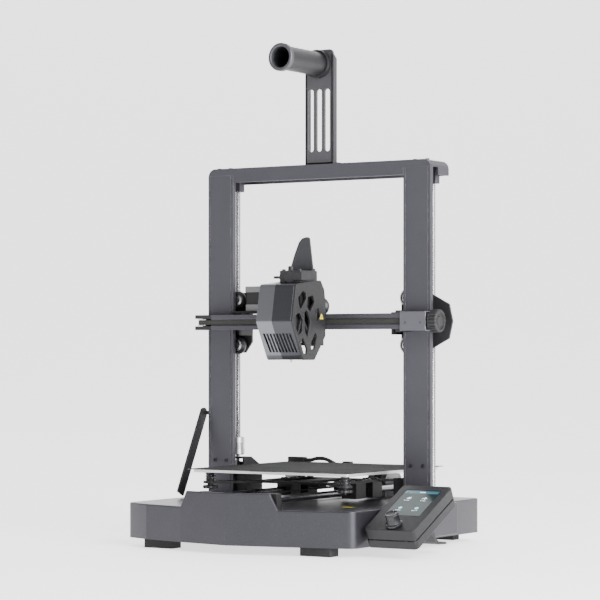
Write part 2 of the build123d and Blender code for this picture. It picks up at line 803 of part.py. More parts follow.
def build_side_frame():
    panel = slab_x(head_outline(profile_front - 1.3), head_right - 3, head_right)
    holes = [[(-88, 318), (-74, 326), (-70, 312), (-84, 300)],
             [(-64, 325), (-50, 322), (-54, 310), (-66, 312)],
             [(-95, 288), (-84, 296), (-80, 280), (-90, 272)],
             [(-62, 300), (-46, 296), (-56, 284)],
             [(-76, 270), (-66, 276), (-70, 256), (-78, 254)],
             [(-50, 276), (-40, 272), (-54, 258)]]
    for hole in holes:
        panel -= slab_x(hole, head_right - 4, head_right + 1)
    return panel


def build_cable_fin():
    points = [(-17.5, 346), (-12.5, 354), (21, 354), (15.4, 397), (11.5, 398), (4.5, 396.5), (-0.6, 391)]
    fin = slab_y(points, -42, -39.5)
    foot = block(-12, 22, -44, -37, 354, 357)
    return fin + foot


def build_extruder_lever():
    lever = block(-27, lever_x, -60.7, -51.3, 344.4, 347.6)
    lever += rod_along_y(lever_x, lever_z, -60.7, -51.3, 3.4)
    return lever - rod_along_y(lever_x, lever_z, -62, -50, 2 + shaft_gap)


def build_hotend_fan():
    rotor = rod_along_y(filament_x, fan_z, -86, -77.4, 8)
    for i in range(7):
        blade = Pos(12.4, 0, 0) * Rot(38, 0, 0) * Box(10, 9.5, 1.2)
        rotor += Pos(filament_x, -81.7, fan_z) * Rot(0, i * 360 / 7, 0) * blade
    return rotor - rod_along_y(filament_x, fan_z, -88, -77, 1.5 + shaft_gap)


def build_probe():
    body = block(probe_x - 6, probe_x + 6, probe_y - 6.5, probe_y + 6.5, 246, 286)
    body += block(probe_x - 6, probe_x + 6, probe_y + 6, profile_front - 4, 276, 284)
    return body - rod_along_z(probe_x, probe_y, 245, 268, 1 + shaft_gap)


def build_probe_pin():
    return rod_along_z(probe_x, probe_y, 241.6, 261, 1)


# ---- bed ----
def build_y_carriage():
    plate = block(-65, 65, bed_y - 60, bed_y + 60, 80, 83)
    for side in (-1, 1):
        for end in (-1, 1):
            arm = Pos(side * 78, bed_y + end * 74, 81.5) * Rot(0, 0, side * end * 45) * Box(78, 16, 3)
            plate += arm
            plate += rod_along_z(side * 102, bed_y + end * 98, 80, 83, 9)
    for x in (-32, 32):
        plate -= block(x - 18, x + 18, bed_y - 44, bed_y + 44, 79, 84)
    pieces = [plate]
    for side in (-1, 1):
        for y0 in (0, 42):
            housing = block(side * rod_x - 11, side * rod_x + 11, y0, y0 + 24, rod_z - 9, 80)
            pieces.append(housing - rod_along_y(side * rod_x, rod_z, -5, 70, rod_radius + shaft_gap))
        for end in (-1, 1):
            pieces.append(rod_along_z(side * 102, bed_y + end * 98, 83, heated_top - heated_sheet, 5.5))
    pieces.append(block(-8, 8, -8, 12, y_belt_z + pulley_pitch + 1.9, 80))
    rear = bed_y + heated_size / 2
    clear_y = bed_y + flex_size / 2 + 0.4
    under = heated_top - 0.6
    holder = block(cable_left - cable_holder, cable_left, rear, clear_y + 8, under - 6, under)
    holder += block(cable_left - cable_holder, cable_left, clear_y, clear_y + 8, under, 105.5)
    socket = block(cable_right, cable_right + 12, rear, clear_y + 8, under - 6, under)
    socket += block(cable_right, cable_right + 12, clear_y, clear_y + 8, under, 101)
    return pieces + [holder, socket]


def build_bed_plate(size, low, high, corner):
    half = size / 2
    plate = block(-half, half, bed_y - half, bed_y + half, low, high)
    return fillet(plate.edges().filter_by(Axis.Z), corner)


def build_flex_plate():
    plate = build_bed_plate(flex_size, flex_top - flex_sheet, flex_top, 4)
    front = bed_y - flex_size / 2
    return plate + block(-24, 24, front - 7, front + 1, flex_top - flex_sheet, flex_top)


def corner_radii(points):
    """The largest even bend at each corner that its two runs leave room for."""
    radii = []
    for before, corner, after in zip(points, points[1:], points[2:]):
        first = Vector(*corner) - Vector(*before)
        second = Vector(*after) - Vector(*corner)
        half_turn = math.radians(first.get_angle(second)) / 2
        radii.append(0.45 * min(first.length, second.length) / math.tan(half_turn))
    return radii


def build_bed_cable():
    """The heater lead: an arch from its holder to the bed's socket."""
    y = bed_y + flex_size / 2 + 4.4
    points = [(cable_left, y, 101.5), (cable_left + 10, y, 101.5), (-80, y, 104), (-68, y, 104.2),
              (-58, y, 101), (-48, y, cable_low), (cable_right, y, cable_low)]
    radii = corner_radii(points)
    print("bed cable bends:", ", ".join(f"{radius:.1f} mm" for radius in radii))
    path = FilletPolyline(*points, radius=radii)
    return sweep(Plane(origin=path @ 0, z_dir=path % 0) * Circle(cable_radius), path=path)


def main():
    os.makedirs("parts", exist_ok=True)
    save("base_housing", *build_base())
    save("base_plate", build_base_plate())
    save("rubber_feet", *build_feet())
    save("left_column", build_column(-1))
    save("right_column", build_column(1))
    save("top_beam", build_top_beam(), screw_bearing(-1), screw_bearing(1))
    save("spool_bracket", build_spool_bracket())
    save("spool_arm", build_spool_arm())
    save("frame_screws", *build_frame_screws())
    save("brace_bar", build_brace_bar())
    save("motor_mounts", *build_motor_mounts())
    save("stepper_motors", *build_steppers())
    save("y_rods", *build_rods())
    save("rod_clamps", *build_rod_clamps())
    save("y_belt", build_y_belt())
    save("power_supply", build_power_supply())
    save("mainboard", build_mainboard())
    save("power_socket", build_power_socket())
    save("power_rocker", build_rocker())
    save("display_upper_shell", build_display_upper())
    save("display_lower_shell", *build_display_lower())
    save("display_glass", build_display_glass())
    save("encoder_shaft", build_encoder_shaft())
    save("control_knob", build_control_knob())
    save("lead_screw_left", *build_lead_screw(-1, left_coupler_low, left_coupler_height))
    save("lead_screw_right", *build_lead_screw(1, right_coupler_low, right_coupler_height))
    save("x_profile", build_x_profile())
    save("left_gantry_bracket", *build_left_bracket())
    save("right_gantry_bracket", *build_right_bracket())
    save("x_motor", build_x_motor())
    save("x_belt", build_x_belt())
    save("tensioner_cover", build_tensioner_cover())
    save("tensioner_knob", build_tensioner_knob())
    wheel = v_wheel_shape()
    for side, word in ((-1, "left"), (1, "right")):
        for (x, z), place in zip(wheel_places(side), ("upper", "lower", "outer")):
            save(f"{word}_{place}_wheel", Pos(x, wheel_plane, z) * wheel)
    for (x, z), place in zip(carriage_wheels(), ("left", "right", "lower")):
        save(f"carriage_{place}_wheel", Pos(x, profile_y, z) * wheel)
    save("x_drive_pulley", Pos(x_motor_x, x_motor_y, profile_z) * pulley_shape(motor_shaft, 5))
    save("x_idler_left", Pos(idler_left_x, idler_y, profile_z) * pulley_shape(idler_pin))
    save("x_idler_right", Pos(idler_right_x, idler_y, profile_z) * pulley_shape(idler_pin))
    save("y_drive_pulley", Pos(0, y_motor_y, y_belt_z) * Rot(0, 90, 0) * pulley_shape(motor_shaft))
    save("y_idler_pulley", Pos(0, y_idler_y, y_belt_z) * Rot(0, 90, 0) * pulley_shape(1.5))
    save("carriage_plate", build_carriage_plate())
    save("extruder_body", *build_extruder_body(), build_cable_fin())
    save("hotend", build_hotend())
    save("head_cover", build_head_cover())
    save("side_frame", build_side_frame())
    save("extruder_lever", build_extruder_lever())
    save("hotend_fan", build_hotend_fan())
    save("probe_body", build_probe())
    save("probe_pin", build_probe_pin())
    save("y_carriage", *build_y_carriage())
    save("heated_bed", build_bed_plate(heated_size, heated_top - heated_sheet, heated_top, 3))
    save("flex_plate", build_flex_plate())
    save("bed_cable", build_bed_cable())


main()
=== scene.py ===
import json
import math
import bmesh
import bpy
from mathutils import Matrix, Vector


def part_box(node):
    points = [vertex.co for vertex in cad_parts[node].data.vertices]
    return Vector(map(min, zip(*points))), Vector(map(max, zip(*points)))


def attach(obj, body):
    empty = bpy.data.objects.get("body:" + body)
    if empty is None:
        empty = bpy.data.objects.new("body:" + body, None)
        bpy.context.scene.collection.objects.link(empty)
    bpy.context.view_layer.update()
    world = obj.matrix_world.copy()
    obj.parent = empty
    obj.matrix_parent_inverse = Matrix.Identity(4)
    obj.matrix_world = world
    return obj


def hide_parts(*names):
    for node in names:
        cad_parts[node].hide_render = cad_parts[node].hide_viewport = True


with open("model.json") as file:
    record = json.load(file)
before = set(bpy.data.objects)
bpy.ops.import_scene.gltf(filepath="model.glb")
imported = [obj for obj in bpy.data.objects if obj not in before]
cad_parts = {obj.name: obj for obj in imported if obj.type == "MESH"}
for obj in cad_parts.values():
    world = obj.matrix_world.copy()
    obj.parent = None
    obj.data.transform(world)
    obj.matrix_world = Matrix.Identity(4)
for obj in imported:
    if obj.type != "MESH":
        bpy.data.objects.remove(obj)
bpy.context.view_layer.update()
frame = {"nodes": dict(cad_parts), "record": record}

mm = 0.001
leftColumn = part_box("left_column")
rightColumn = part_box("right_column")
towerX = (leftColumn[0].x + rightColumn[1].x) / 2
towerY = leftColumn[0].y
columnX = ((rightColumn[0].x + rightColumn[1].x) / 2 - towerX) / mm


def at(x, y, z):
    # millimetres from the tower's front centre on the table, to the row frame
    return Vector((towerX + x * mm, towerY + y * mm, z * mm))


# shader groups
def newGroup(name, inputs, outputs):
    group = bpy.data.node_groups.new(name, "ShaderNodeTree")
    for label, kind, value in inputs:
        socket = group.interface.new_socket(name=label, in_out="INPUT", socket_type=kind)
        socket.default_value = value
    for label, kind in outputs:
        group.interface.new_socket(name=label, in_out="OUTPUT", socket_type=kind)
    return group, group.nodes.new("NodeGroupInput"), group.nodes.new("NodeGroupOutput")


def addNode(tree, kind, settings=None, **values):
    node = tree.nodes.new(kind)
    for key, value in (settings or {}).items():
        setattr(node, key, value)
    for key, value in values.items():
        node.inputs[key.replace("_", " ")].default_value = value
    return node


def mathNode(tree, operation, first, second):
    node = addNode(tree, "ShaderNodeMath", {"operation": operation})
    for socket, value in zip(node.inputs, (first, second)):
        if isinstance(value, (int, float)):
            socket.default_value = value
        else:
            tree.links.new(value, socket)
    return node.outputs[0]


def mixColor(tree, factor, first, second, blend="MIX"):
    node = addNode(tree, "ShaderNodeMix", {"data_type": "RGBA", "blend_type": blend})
    for index, value in ((0, factor), (6, first), (7, second)):
        if isinstance(value, (int, float, tuple)):
            node.inputs[index].default_value = value
        else:
            tree.links.new(value, node.inputs[index])
    return node.outputs[2]


def ramp(tree, source, low, high):
    node = addNode(tree, "ShaderNodeMapRange", From_Min=low, From_Max=high)
    tree.links.new(source, node.inputs["Value"])
    return node.outputs["Result"]


def makeSurfaceGroup():
    # worn finish: cloudy tint, fine grain and rubbed edges
    group, entry, leave = newGroup("surfaceFinish", [
        ("Base", "NodeSocketColor", (0.1, 0.1, 0.1, 1)), ("Edge", "NodeSocketColor", (0.3, 0.3, 0.3, 1)),
        ("Roughness", "NodeSocketFloat", 0.5), ("Grain Scale", "NodeSocketFloat", 900.0),
        ("Grain", "NodeSocketFloat", 0.3), ("Wear", "NodeSocketFloat", 0.3),
        ("Cloud", "NodeSocketFloat", 0.15), ("Edge Width", "NodeSocketFloat", 0.0006)],
        [("Color", "NodeSocketColor"), ("Roughness", "NodeSocketFloat"),
         ("Height", "NodeSocketFloat"), ("Edge Mask", "NodeSocketFloat")])
    place = addNode(group, "ShaderNodeTexCoord").outputs["Object"]
    cloud = addNode(group, "ShaderNodeTexNoise", Scale=14.0, Detail=4.0, Roughness=0.6)
    grain = addNode(group, "ShaderNodeTexNoise", Detail=3.0, Roughness=0.65)
    patch = addNode(group, "ShaderNodeTexNoise", Scale=170.0, Detail=5.0, Roughness=0.7)
    for node in (cloud, grain, patch):
        group.links.new(place, node.inputs["Vector"])
    group.links.new(entry.outputs["Grain Scale"], grain.inputs["Scale"])
    geometry = addNode(group, "ShaderNodeNewGeometry")
    bevel = addNode(group, "ShaderNodeBevel", {"samples": 4})
    group.links.new(entry.outputs["Edge Width"], bevel.inputs["Radius"])
    dot = addNode(group, "ShaderNodeVectorMath", {"operation": "DOT_PRODUCT"})
    group.links.new(geometry.outputs["Normal"], dot.inputs[0])
    group.links.new(bevel.outputs[0], dot.inputs[1])
    edge = ramp(group, mathNode(group, "SUBTRACT", 1.0, dot.outputs["Value"]), 0.004, 0.12)
    spots = ramp(group, patch.outputs[0], 0.42, 0.62)
    mask = mathNode(group, "MULTIPLY", mathNode(group, "MULTIPLY", edge, spots), entry.outputs["Wear"])
    shade = mathNode(group, "MULTIPLY", ramp(group, cloud.outputs[0], 0.3, 0.7), entry.outputs["Cloud"])
    tint = mixColor(group, shade, entry.outputs["Base"], (0.0, 0.0, 0.0, 1))
    speck = mathNode(group, "MULTIPLY", ramp(group, grain.outputs[0], 0.55, 0.75), entry.outputs["Grain"])
    tint = mixColor(group, mathNode(group, "MULTIPLY", speck, 0.35), tint, entry.outputs["Edge"])
    group.links.new(mixColor(group, mask, tint, entry.outputs["Edge"]), leave.inputs["Color"])
    rough = mathNode(group, "ADD", entry.outputs["Roughness"], mathNode(group, "MULTIPLY", shade, 0.35))
    rough = mathNode(group, "SUBTRACT", rough, mathNode(group, "MULTIPLY", mask, 0.12))
    group.links.new(rough, leave.inputs["Roughness"])
    group.links.new(mathNode(group, "MULTIPLY", grain.outputs[0], entry.outputs["Grain"]),
                    leave.inputs["Height"])
    group.links.new(mask, leave.inputs["Edge Mask"])
    return group


def makeBrushGroup():
    # fine brushed lines along one axis, as a height and a slight streak mask
    group, entry, leave = newGroup("brushLines", [
        ("Stretch", "NodeSocketVector", (1.0, 1.0, 1.0)), ("Strength", "NodeSocketFloat", 0.5)],
        [("Height", "NodeSocketFloat"), ("Streak", "NodeSocketFloat")])
    place = addNode(group, "ShaderNodeTexCoord").outputs["Object"]
    scaled = addNode(group, "ShaderNodeVectorMath", {"operation": "MULTIPLY"})
    group.links.new(place, scaled.inputs[0])
    group.links.new(entry.outputs["Stretch"], scaled.inputs[1])
    lines = addNode(group, "ShaderNodeTexNoise", Scale=1.0, Detail=4.0, Roughness=0.7)
    group.links.new(scaled.outputs[0], lines.inputs["Vector"])
    group.links.new(mathNode(group, "MULTIPLY", lines.outputs[0], entry.outputs["Strength"]),
                    leave.inputs["Height"])
    group.links.new(ramp(group, lines.outputs[0], 0.35, 0.65), leave.inputs["Streak"])
    return group


surfaceGroup = makeSurfaceGroup()
brushGroup = makeBrushGroup()

finishDefaults = dict(metal=0.0, grain=0.3, wear=0.4, cloud=0.2, bump=0.05, edgeWidth=0.0006)
finishes = {
    "frameMetal": dict(base=(0.072, 0.07, 0.084), edge=(0.26, 0.26, 0.29), rough=0.42, metal=0.62,
                       grain=0.35, cloud=0.1, edgeWidth=0.0007),
    "basePaint": dict(base=(0.044, 0.043, 0.052), edge=(0.2, 0.2, 0.23), rough=0.34, metal=0.6, grain=0.5,
                      wear=0.35, cloud=0.08, bump=0.06, edgeWidth=0.0016),
    "sheetBlack": dict(base=(0.016, 0.016, 0.018), edge=(0.09, 0.09, 0.1), rough=0.5, metal=0.2, grain=0.5,
                       wear=0.5, bump=0.12),
    "blackPlastic": dict(base=(0.013, 0.013, 0.015), edge=(0.05, 0.05, 0.055), rough=0.45, grain=0.8,
                         bump=0.2, edgeWidth=0.0008),
    "texturedPlastic": dict(base=(0.008, 0.008, 0.009), edge=(0.07, 0.07, 0.08), rough=0.52, grain=1.0,
                            wear=0.5, cloud=0.15, bump=0.5, edgeWidth=0.0008, grainScale=1500),
    "greyPlastic": dict(base=(0.01, 0.01, 0.012), edge=(0.07, 0.07, 0.08), rough=0.46, grain=0.6, wear=0.5,
                        cloud=0.1, bump=0.12, edgeWidth=0.0012, specular=0.35),
    "glossKnob": dict(base=(0.022, 0.023, 0.026), edge=(0.2, 0.2, 0.22), rough=0.16, metal=0.35, grain=0.2,
                      cloud=0.1, bump=0.03),
    "rubberBlack": dict(base=(0.012, 0.012, 0.012), edge=(0.03, 0.03, 0.03), rough=0.75, grain=0.9,
                        wear=0.3, cloud=0.3, bump=0.35, edgeWidth=0.0008),
    "wheelPlastic": dict(base=(0.018, 0.018, 0.02), edge=(0.06, 0.06, 0.065), rough=0.35, grain=0.4,
                         bump=0.08, edgeWidth=0.0005),
    "flexCoat": dict(base=(0.016, 0.016, 0.017), edge=(0.3, 0.3, 0.31), rough=0.86, grain=1.0, wear=0.9,
                     cloud=0.25, bump=0.6, edgeWidth=0.0004, grainScale=1300, specular=0.12),
    "bareAluminium": dict(base=(0.66, 0.66, 0.67), edge=(0.9, 0.9, 0.9), rough=0.28, metal=1.0, wear=0.3,
                          cloud=0.12, bump=0.08, edgeWidth=0.0005, brush=(40.0, 900.0, 900.0)),
    "steelBright": dict(base=(0.58, 0.58, 0.6), edge=(0.85, 0.85, 0.87), rough=0.22, metal=1.0, grain=0.2,
                        wear=0.2, edgeWidth=0.0004, brush=(900.0, 900.0, 60.0)),
    "rodSteel": dict(base=(0.36, 0.36, 0.38), edge=(0.8, 0.8, 0.8), rough=0.2, metal=1.0, grain=0.2,
                     wear=0.1, bump=0.04, edgeWidth=0.0004, brush=(900.0, 30.0, 900.0)),
    "brassTurned": dict(base=(0.55, 0.38, 0.14), edge=(0.8, 0.62, 0.3), rough=0.26, metal=1.0, grain=0.2,
                        wear=0.3, edgeWidth=0.0004, brush=(60.0, 60.0, 1500.0)),
    "boardGreen": dict(base=(0.01, 0.07, 0.035), edge=(0.4, 0.3, 0.1), rough=0.35, grain=0.5, wear=0.5,
                       bump=0.1, edgeWidth=0.0004),
    "bodyYellow": dict(base=(0.75, 0.62, 0.02), edge=(0.9, 0.85, 0.5), rough=0.45, wear=0.3, cloud=0.15,
                       bump=0.03, edgeWidth=0.0003),
    "darkScrew": dict(base=(0.045, 0.045, 0.05), edge=(0.3, 0.3, 0.32), rough=0.32, metal=0.9, wear=0.5,
                      bump=0.06, edgeWidth=0.0003),
    "guideFoam": dict(base=(0.028, 0.028, 0.034), edge=(0.07, 0.07, 0.08), rough=0.7, grain=1.0, wear=0.3,
                      cloud=0.3, bump=0.6, grainScale=1100),
    "plateEdge": dict(base=(0.72, 0.72, 0.73), edge=(0.9, 0.9, 0.9), rough=0.3, metal=0.75, wear=0.3,
                      cloud=0.08, edgeWidth=0.0003),
    "bracketGrey": dict(base=(0.075, 0.075, 0.082), edge=(0.25, 0.25, 0.27), rough=0.38, metal=0.5,
                        grain=0.5, wear=0.5, cloud=0.1, bump=0.08),
    "motorGrey": dict(base=(0.2, 0.2, 0.205), edge=(0.4, 0.4, 0.4), rough=0.42, metal=0.75, grain=0.6,
                      cloud=0.12, bump=0.12, edgeWidth=0.0005),
    "motorStack": dict(base=(0.014, 0.014, 0.015), edge=(0.1, 0.1, 0.11), rough=0.42, metal=0.35, grain=0.4,
                       wear=0.6, cloud=0.15, bump=0.25, edgeWidth=0.0005, brush=(30.0, 30.0, 2600.0)),
    "beltRubber": dict(base=(0.03, 0.031, 0.026), edge=(0.07, 0.07, 0.06), rough=0.6, grain=0.8, wear=0.3,
                       cloud=0.25, bump=0.35, edgeWidth=0.0003, teeth=2.0),
    "armPlastic": dict(base=(0.01, 0.01, 0.012), edge=(0.06, 0.06, 0.07), rough=0.42, metal=0.1, grain=0.4,
                       cloud=0.15, bump=0.06),
    "paleMark": dict(base=(0.6, 0.6, 0.6), edge=(0.8, 0.8, 0.8), rough=0.4, grain=0.2, wear=0.3, cloud=0.1,
                     bump=0.02, edgeWidth=0.0002),
    "coverPlain": dict(base=(0.15, 0.15, 0.17), edge=(0.35, 0.35, 0.38), rough=0.32, metal=0.8, wear=0.35,
                       cloud=0.08, edgeWidth=0.0008, brush=(60.0, 900.0, 900.0)),
    "paleGlyph": dict(base=(0.75, 0.8, 0.82), edge=(0.9, 0.9, 0.9), rough=0.3, grain=0.1, wear=0.1,
                      cloud=0.1, bump=0.0, edgeWidth=0.0002, glow=(0.7, 0.85, 0.9, 0.9)),
    "cyanGlyph": dict(base=(0.05, 0.45, 0.5), edge=(0.3, 0.8, 0.8), rough=0.3, grain=0.1, wear=0.1,
                      cloud=0.1, bump=0.0, edgeWidth=0.0002, glow=(0.08, 0.75, 0.8, 0.9)),
    "barGlyph": dict(base=(0.02, 0.07, 0.1), edge=(0.1, 0.2, 0.25), rough=0.25, grain=0.1, wear=0.1,
                     cloud=0.1, bump=0.0, edgeWidth=0.0002, glow=(0.02, 0.1, 0.14, 0.8)),
}


def principled(material):
    tree = material.node_tree
    for node in list(tree.nodes):
        tree.nodes.remove(node)
    shader = tree.nodes.new("ShaderNodeBsdfPrincipled")
    output = tree.nodes.new("ShaderNodeOutputMaterial")
    tree.links.new(shader.outputs[0], output.inputs[0])
    return tree, shader


def surfaceNode(tree, spec):
    node = tree.nodes.new("ShaderNodeGroup")
    node.node_tree = surfaceGroup
    node.inputs["Base"].default_value = (*spec["base"], 1)
    node.inputs["Edge"].default_value = (*spec["edge"], 1)
    node.inputs["Roughness"].default_value = spec["rough"]
    node.inputs["Grain Scale"].default_value = spec.get("grainScale", 900.0)
    node.inputs["Grain"].default_value = spec["grain"]
    node.inputs["Wear"].default_value = spec["wear"]
    node.inputs["Cloud"].default_value = spec["cloud"]
    node.inputs["Edge Width"].default_value = spec["edgeWidth"]
    return node


def makeFinish(name, spec):
    spec = dict(finishDefaults, **spec)
    material = bpy.data.materials.new(name)
    material.use_nodes = True
    tree, shader = principled(material)
    surface = surfaceNode(tree, spec)
    shader.inputs["Metallic"].default_value = spec["metal"]
    color = surface.outputs["Color"]
    height = surface.outputs["Height"]
    if "brush" in spec:
        brush = tree.nodes.new("ShaderNodeGroup")
        brush.node_tree = brushGroup
        brush.inputs["Stretch"].default_value = spec["brush"]
        height = mathNode(tree, "ADD", height, brush.outputs["Height"])
        darker = tuple(channel * 0.82 for channel in spec["base"]) + (1,)
        color = mixColor(tree, mathNode(tree, "MULTIPLY", brush.outputs["Streak"], 0.35), color, darker)
    tree.links.new(color, shader.inputs["Base Color"])
    tree.links.new(surface.outputs["Roughness"], shader.inputs["Roughness"])
    bevel = addNode(tree, "ShaderNodeBevel", {"samples": 4}, Radius=spec["edgeWidth"])
    bump = addNode(tree, "ShaderNodeBump", Strength=spec["bump"], Distance=0.0003)
    tree.links.new(height, bump.inputs["Height"])
    tree.links.new(bevel.outputs[0], bump.inputs["Normal"])
    tree.links.new(bump.outputs[0], shader.inputs["Normal"])
    if "teeth" in spec:
        shader.inputs["Normal"].links[0].from_node.inputs["Strength"].default_value = 0.6
        wave = addNode(tree, "ShaderNodeTexWave", {"wave_type": "BANDS", "bands_direction": "DIAGONAL"},
                       Scale=314.0 / spec["teeth"])
        tree.links.new(addNode(tree, "ShaderNodeTexCoord").outputs["Object"], wave.inputs["Vector"])
        bump.inputs["Distance"].default_value = 0.0006
        tree.links.new(mathNode(tree, "ADD", height, wave.outputs["Fac"]), bump.inputs["Height"])
        # painted shade: the grooves between the belt teeth are coloured darker, on top of their bump
        shaded = mixColor(tree, wave.outputs["Fac"], (0.012, 0.012, 0.010, 1), color)
        tree.links.new(shaded, shader.inputs["Base Color"])
    if "specular" in spec:
        shader.inputs["Specular IOR Level"].default_value = spec["specular"]
    if "glow" in spec:
        shader.inputs["Emission Color"].default_value = (*spec["glow"][:3], 1)
        shader.inputs["Emission Strength"].default_value = spec["glow"][3]
    return material


finish = {name: makeFinish(name, spec) for name, spec in finishes.items()}


def makeCoverMetal(name, splitX, light, dark, rough):
    # brushed metallic cover: light on the left of splitX, darker on the right
    spec = dict(finishes["frameMetal"], base=light, edge=(0.45, 0.45, 0.48), rough=rough, metal=0.85,
                grain=0.2, wear=0.35, cloud=0.06, bump=0.05, edgeWidth=0.0012, brush=(30.0, 900.0, 900.0))
    material = makeFinish(name, spec)
    tree = material.node_tree
    shader = next(node for node in tree.nodes if node.type == "BSDF_PRINCIPLED")
    source = shader.inputs["Base Color"].links[0].from_socket
    place = addNode(tree, "ShaderNodeTexCoord").outputs["Object"]
    parts = addNode(tree, "ShaderNodeSeparateXYZ")
    tree.links.new(place, parts.inputs[0])
    mask = ramp(tree, parts.outputs["X"], splitX - 0.0002, splitX + 0.0002)
    ratio = tuple(d / l for d, l in zip(dark, light)) + (1,)
    darkened = mixColor(tree, 1.0, source, ratio, "MULTIPLY")
    tree.links.new(mixColor(tree, mask, source, darkened), shader.inputs["Base Color"])
    return material


def makeScreenGlass():
    material = bpy.data.materials.new("screenGlass")
    material.use_nodes = True
    tree, shader = principled(material)
    surface = surfaceNode(tree, dict(base=(0.010, 0.020, 0.022), edge=(0.05, 0.07, 0.07), rough=0.07,
                                     grain=0.1, wear=0.2, cloud=0.3, edgeWidth=0.0003))
    tree.links.new(surface.outputs["Color"], shader.inputs["Base Color"])
    tree.links.new(surface.outputs["Roughness"], shader.inputs["Roughness"])
    shader.inputs["Specular IOR Level"].default_value = 0.22
    shader.inputs["Emission Color"].default_value = (0.012, 0.03, 0.032, 1)
    shader.inputs["Emission Strength"].default_value = 0.4
    return material


# mesh helpers
def softenEdges(piece, width, angle, segments):
    edge = piece.modifiers.new("softEdge", "BEVEL")
    edge.width = width * mm
    edge.segments = segments
    edge.limit_method = "ANGLE"
    edge.angle_limit = math.radians(angle)
    edge.harden_normals = True


def meshPiece(name, bm, material, body, smooth=True, bevel=0.0, replaces=(), segments=2):
    bmesh.ops.recalc_face_normals(bm, faces=bm.faces)
    data = bpy.data.meshes.new(name)
    bm.to_mesh(data)
    bm.free()
    piece = bpy.data.objects.new(name, data)
    bpy.context.scene.collection.objects.link(piece)
    data.materials.append(material)
    if bevel > 0:
        softenEdges(piece, bevel, 35, segments)
    if smooth:
        data.shade_smooth()
        if not bevel:
            data.set_sharp_from_angle(angle=math.radians(35))
    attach(piece, body)
    if replaces:
        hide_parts(*replaces)
    return piece


def addBox(bm, low, high, turn=None):
    middle = (low + high) / 2
    size = high - low
    matrix = Matrix.Translation(middle) @ (turn or Matrix.Identity(4)) @ Matrix.Diagonal((*size, 1))
    bmesh.ops.create_cube(bm, size=1.0, matrix=matrix)


def addOutline(bm, points, axis, low, high):
    # points are (first, second) in metres on the two other axes; axis 0 X, 1 Y, 2 Z
    rings = []
    for level in (low, high):
        ring = []
        for a, b in points:
            spot = [a, b]
            spot.insert(axis, level)
            ring.append(bm.verts.new(spot))
        rings.append(ring)
    bm.faces.new(rings[0])
    bm.faces.new(list(reversed(rings[1])))
    count = len(points)
    for i in range(count):
        j = (i + 1) % count
        bm.faces.new((rings[0][i], rings[0][j], rings[1][j], rings[1][i]))


def addLathe(bm, profile, matrix, steps=48, wave=None):
    # profile is (radius, height) in metres around local Z; closed if it ends where it starts
    rings = []
    for radius, height in profile:
        ring = []
        for k in range(steps):
            angle = 2 * math.pi * k / steps
            r = radius if wave is None else wave(radius, angle, height)
            ring.append(bm.verts.new(matrix @ Vector((r * math.cos(angle), r * math.sin(angle), height))))
        rings.append(ring)
    for lower, upper in zip(rings, rings[1:]):
        for k in range(steps):
            j = (k + 1) % steps
            bm.faces.new((lower[k], lower[j], upper[j], upper[k]))
    return rings


def addTurned(bm, profile, matrix, steps=48, wave=None):
    rings = addLathe(bm, profile, matrix, steps, wave)
    bm.faces.new(list(reversed(rings[0])))
    bm.faces.new(rings[-1])


def addRing(bm, profile, matrix, steps=48, wave=None):
    rings = addLathe(bm, profile, matrix, steps, wave)
    for k in range(steps):
        j = (k + 1) % steps
        bm.faces.new((rings[-1][k], rings[-1][j], rings[0][j], rings[0][k]))


def alongY(point):
    return Matrix.Translation(point) @ Matrix.Rotation(math.radians(90), 4, "X")


def alongX(point):
    return Matrix.Translation(point) @ Matrix.Rotation(math.radians(90), 4, "Y")


def tall(point):
    return Matrix.Translation(point)


def scaled(profile):
    return [(radius * mm, height * mm) for radius, height in profile]


def addSocketScrew(bm, matrix, radius, height):
    # cap screw head standing on the plane z = 0 of the matrix, with a hexagon socket
    outer = scaled([(radius, 0), (radius, height * 0.85), (radius * 0.88, height), (radius * 0.55, height)])
    rings = addLathe(bm, outer, matrix, 24)
    bm.faces.new(list(reversed(rings[0])))
    deep = []
    for level in (height, height * 0.35):
        ring = []
        for k in range(24):
            angle = 2 * math.pi * k / 24
            reach = radius * 0.5 * math.cos(math.pi / 6) / math.cos((angle % (math.pi / 3)) - math.pi / 6)
            ring.append(bm.verts.new(matrix @ Vector((reach * mm * math.cos(angle),
                                                      reach * mm * math.sin(angle), level * mm))))
        deep.append(ring)
    for lower, upper in ((rings[-1], deep[0]), (deep[0], deep[1])):
        for k in range(24):
            j = (k + 1) % 24
            bm.faces.new((lower[k], lower[j], upper[j], upper[k]))
    bm.faces.new(deep[1])


def cutWith(piece, cutters):
    # applies boolean cuts, so that the piece keeps a plain mesh
    for index, cutter in enumerate(cutters):
        cut = piece.modifiers.new(f"cut{index}", "BOOLEAN")
        cut.operation = "DIFFERENCE"
        cut.solver = "EXACT"
        cut.object = cutter
    applyAll(piece)
    for cutter in cutters:
        bpy.data.objects.remove(cutter)


def applyAll(piece):
    bpy.context.view_layer.update()
    graph = bpy.context.evaluated_depsgraph_get()
    made = bpy.data.meshes.new_from_object(piece.evaluated_get(graph))
    piece.modifiers.clear()
    piece.data = made


def looseObject(name, bm):
    bmesh.ops.recalc_face_normals(bm, faces=bm.faces)
    data = bpy.data.meshes.new(name)
    bm.to_mesh(data)
    bm.free()
    made = bpy.data.objects.new(name, data)
    bpy.context.scene.collection.objects.link(made)
    return made


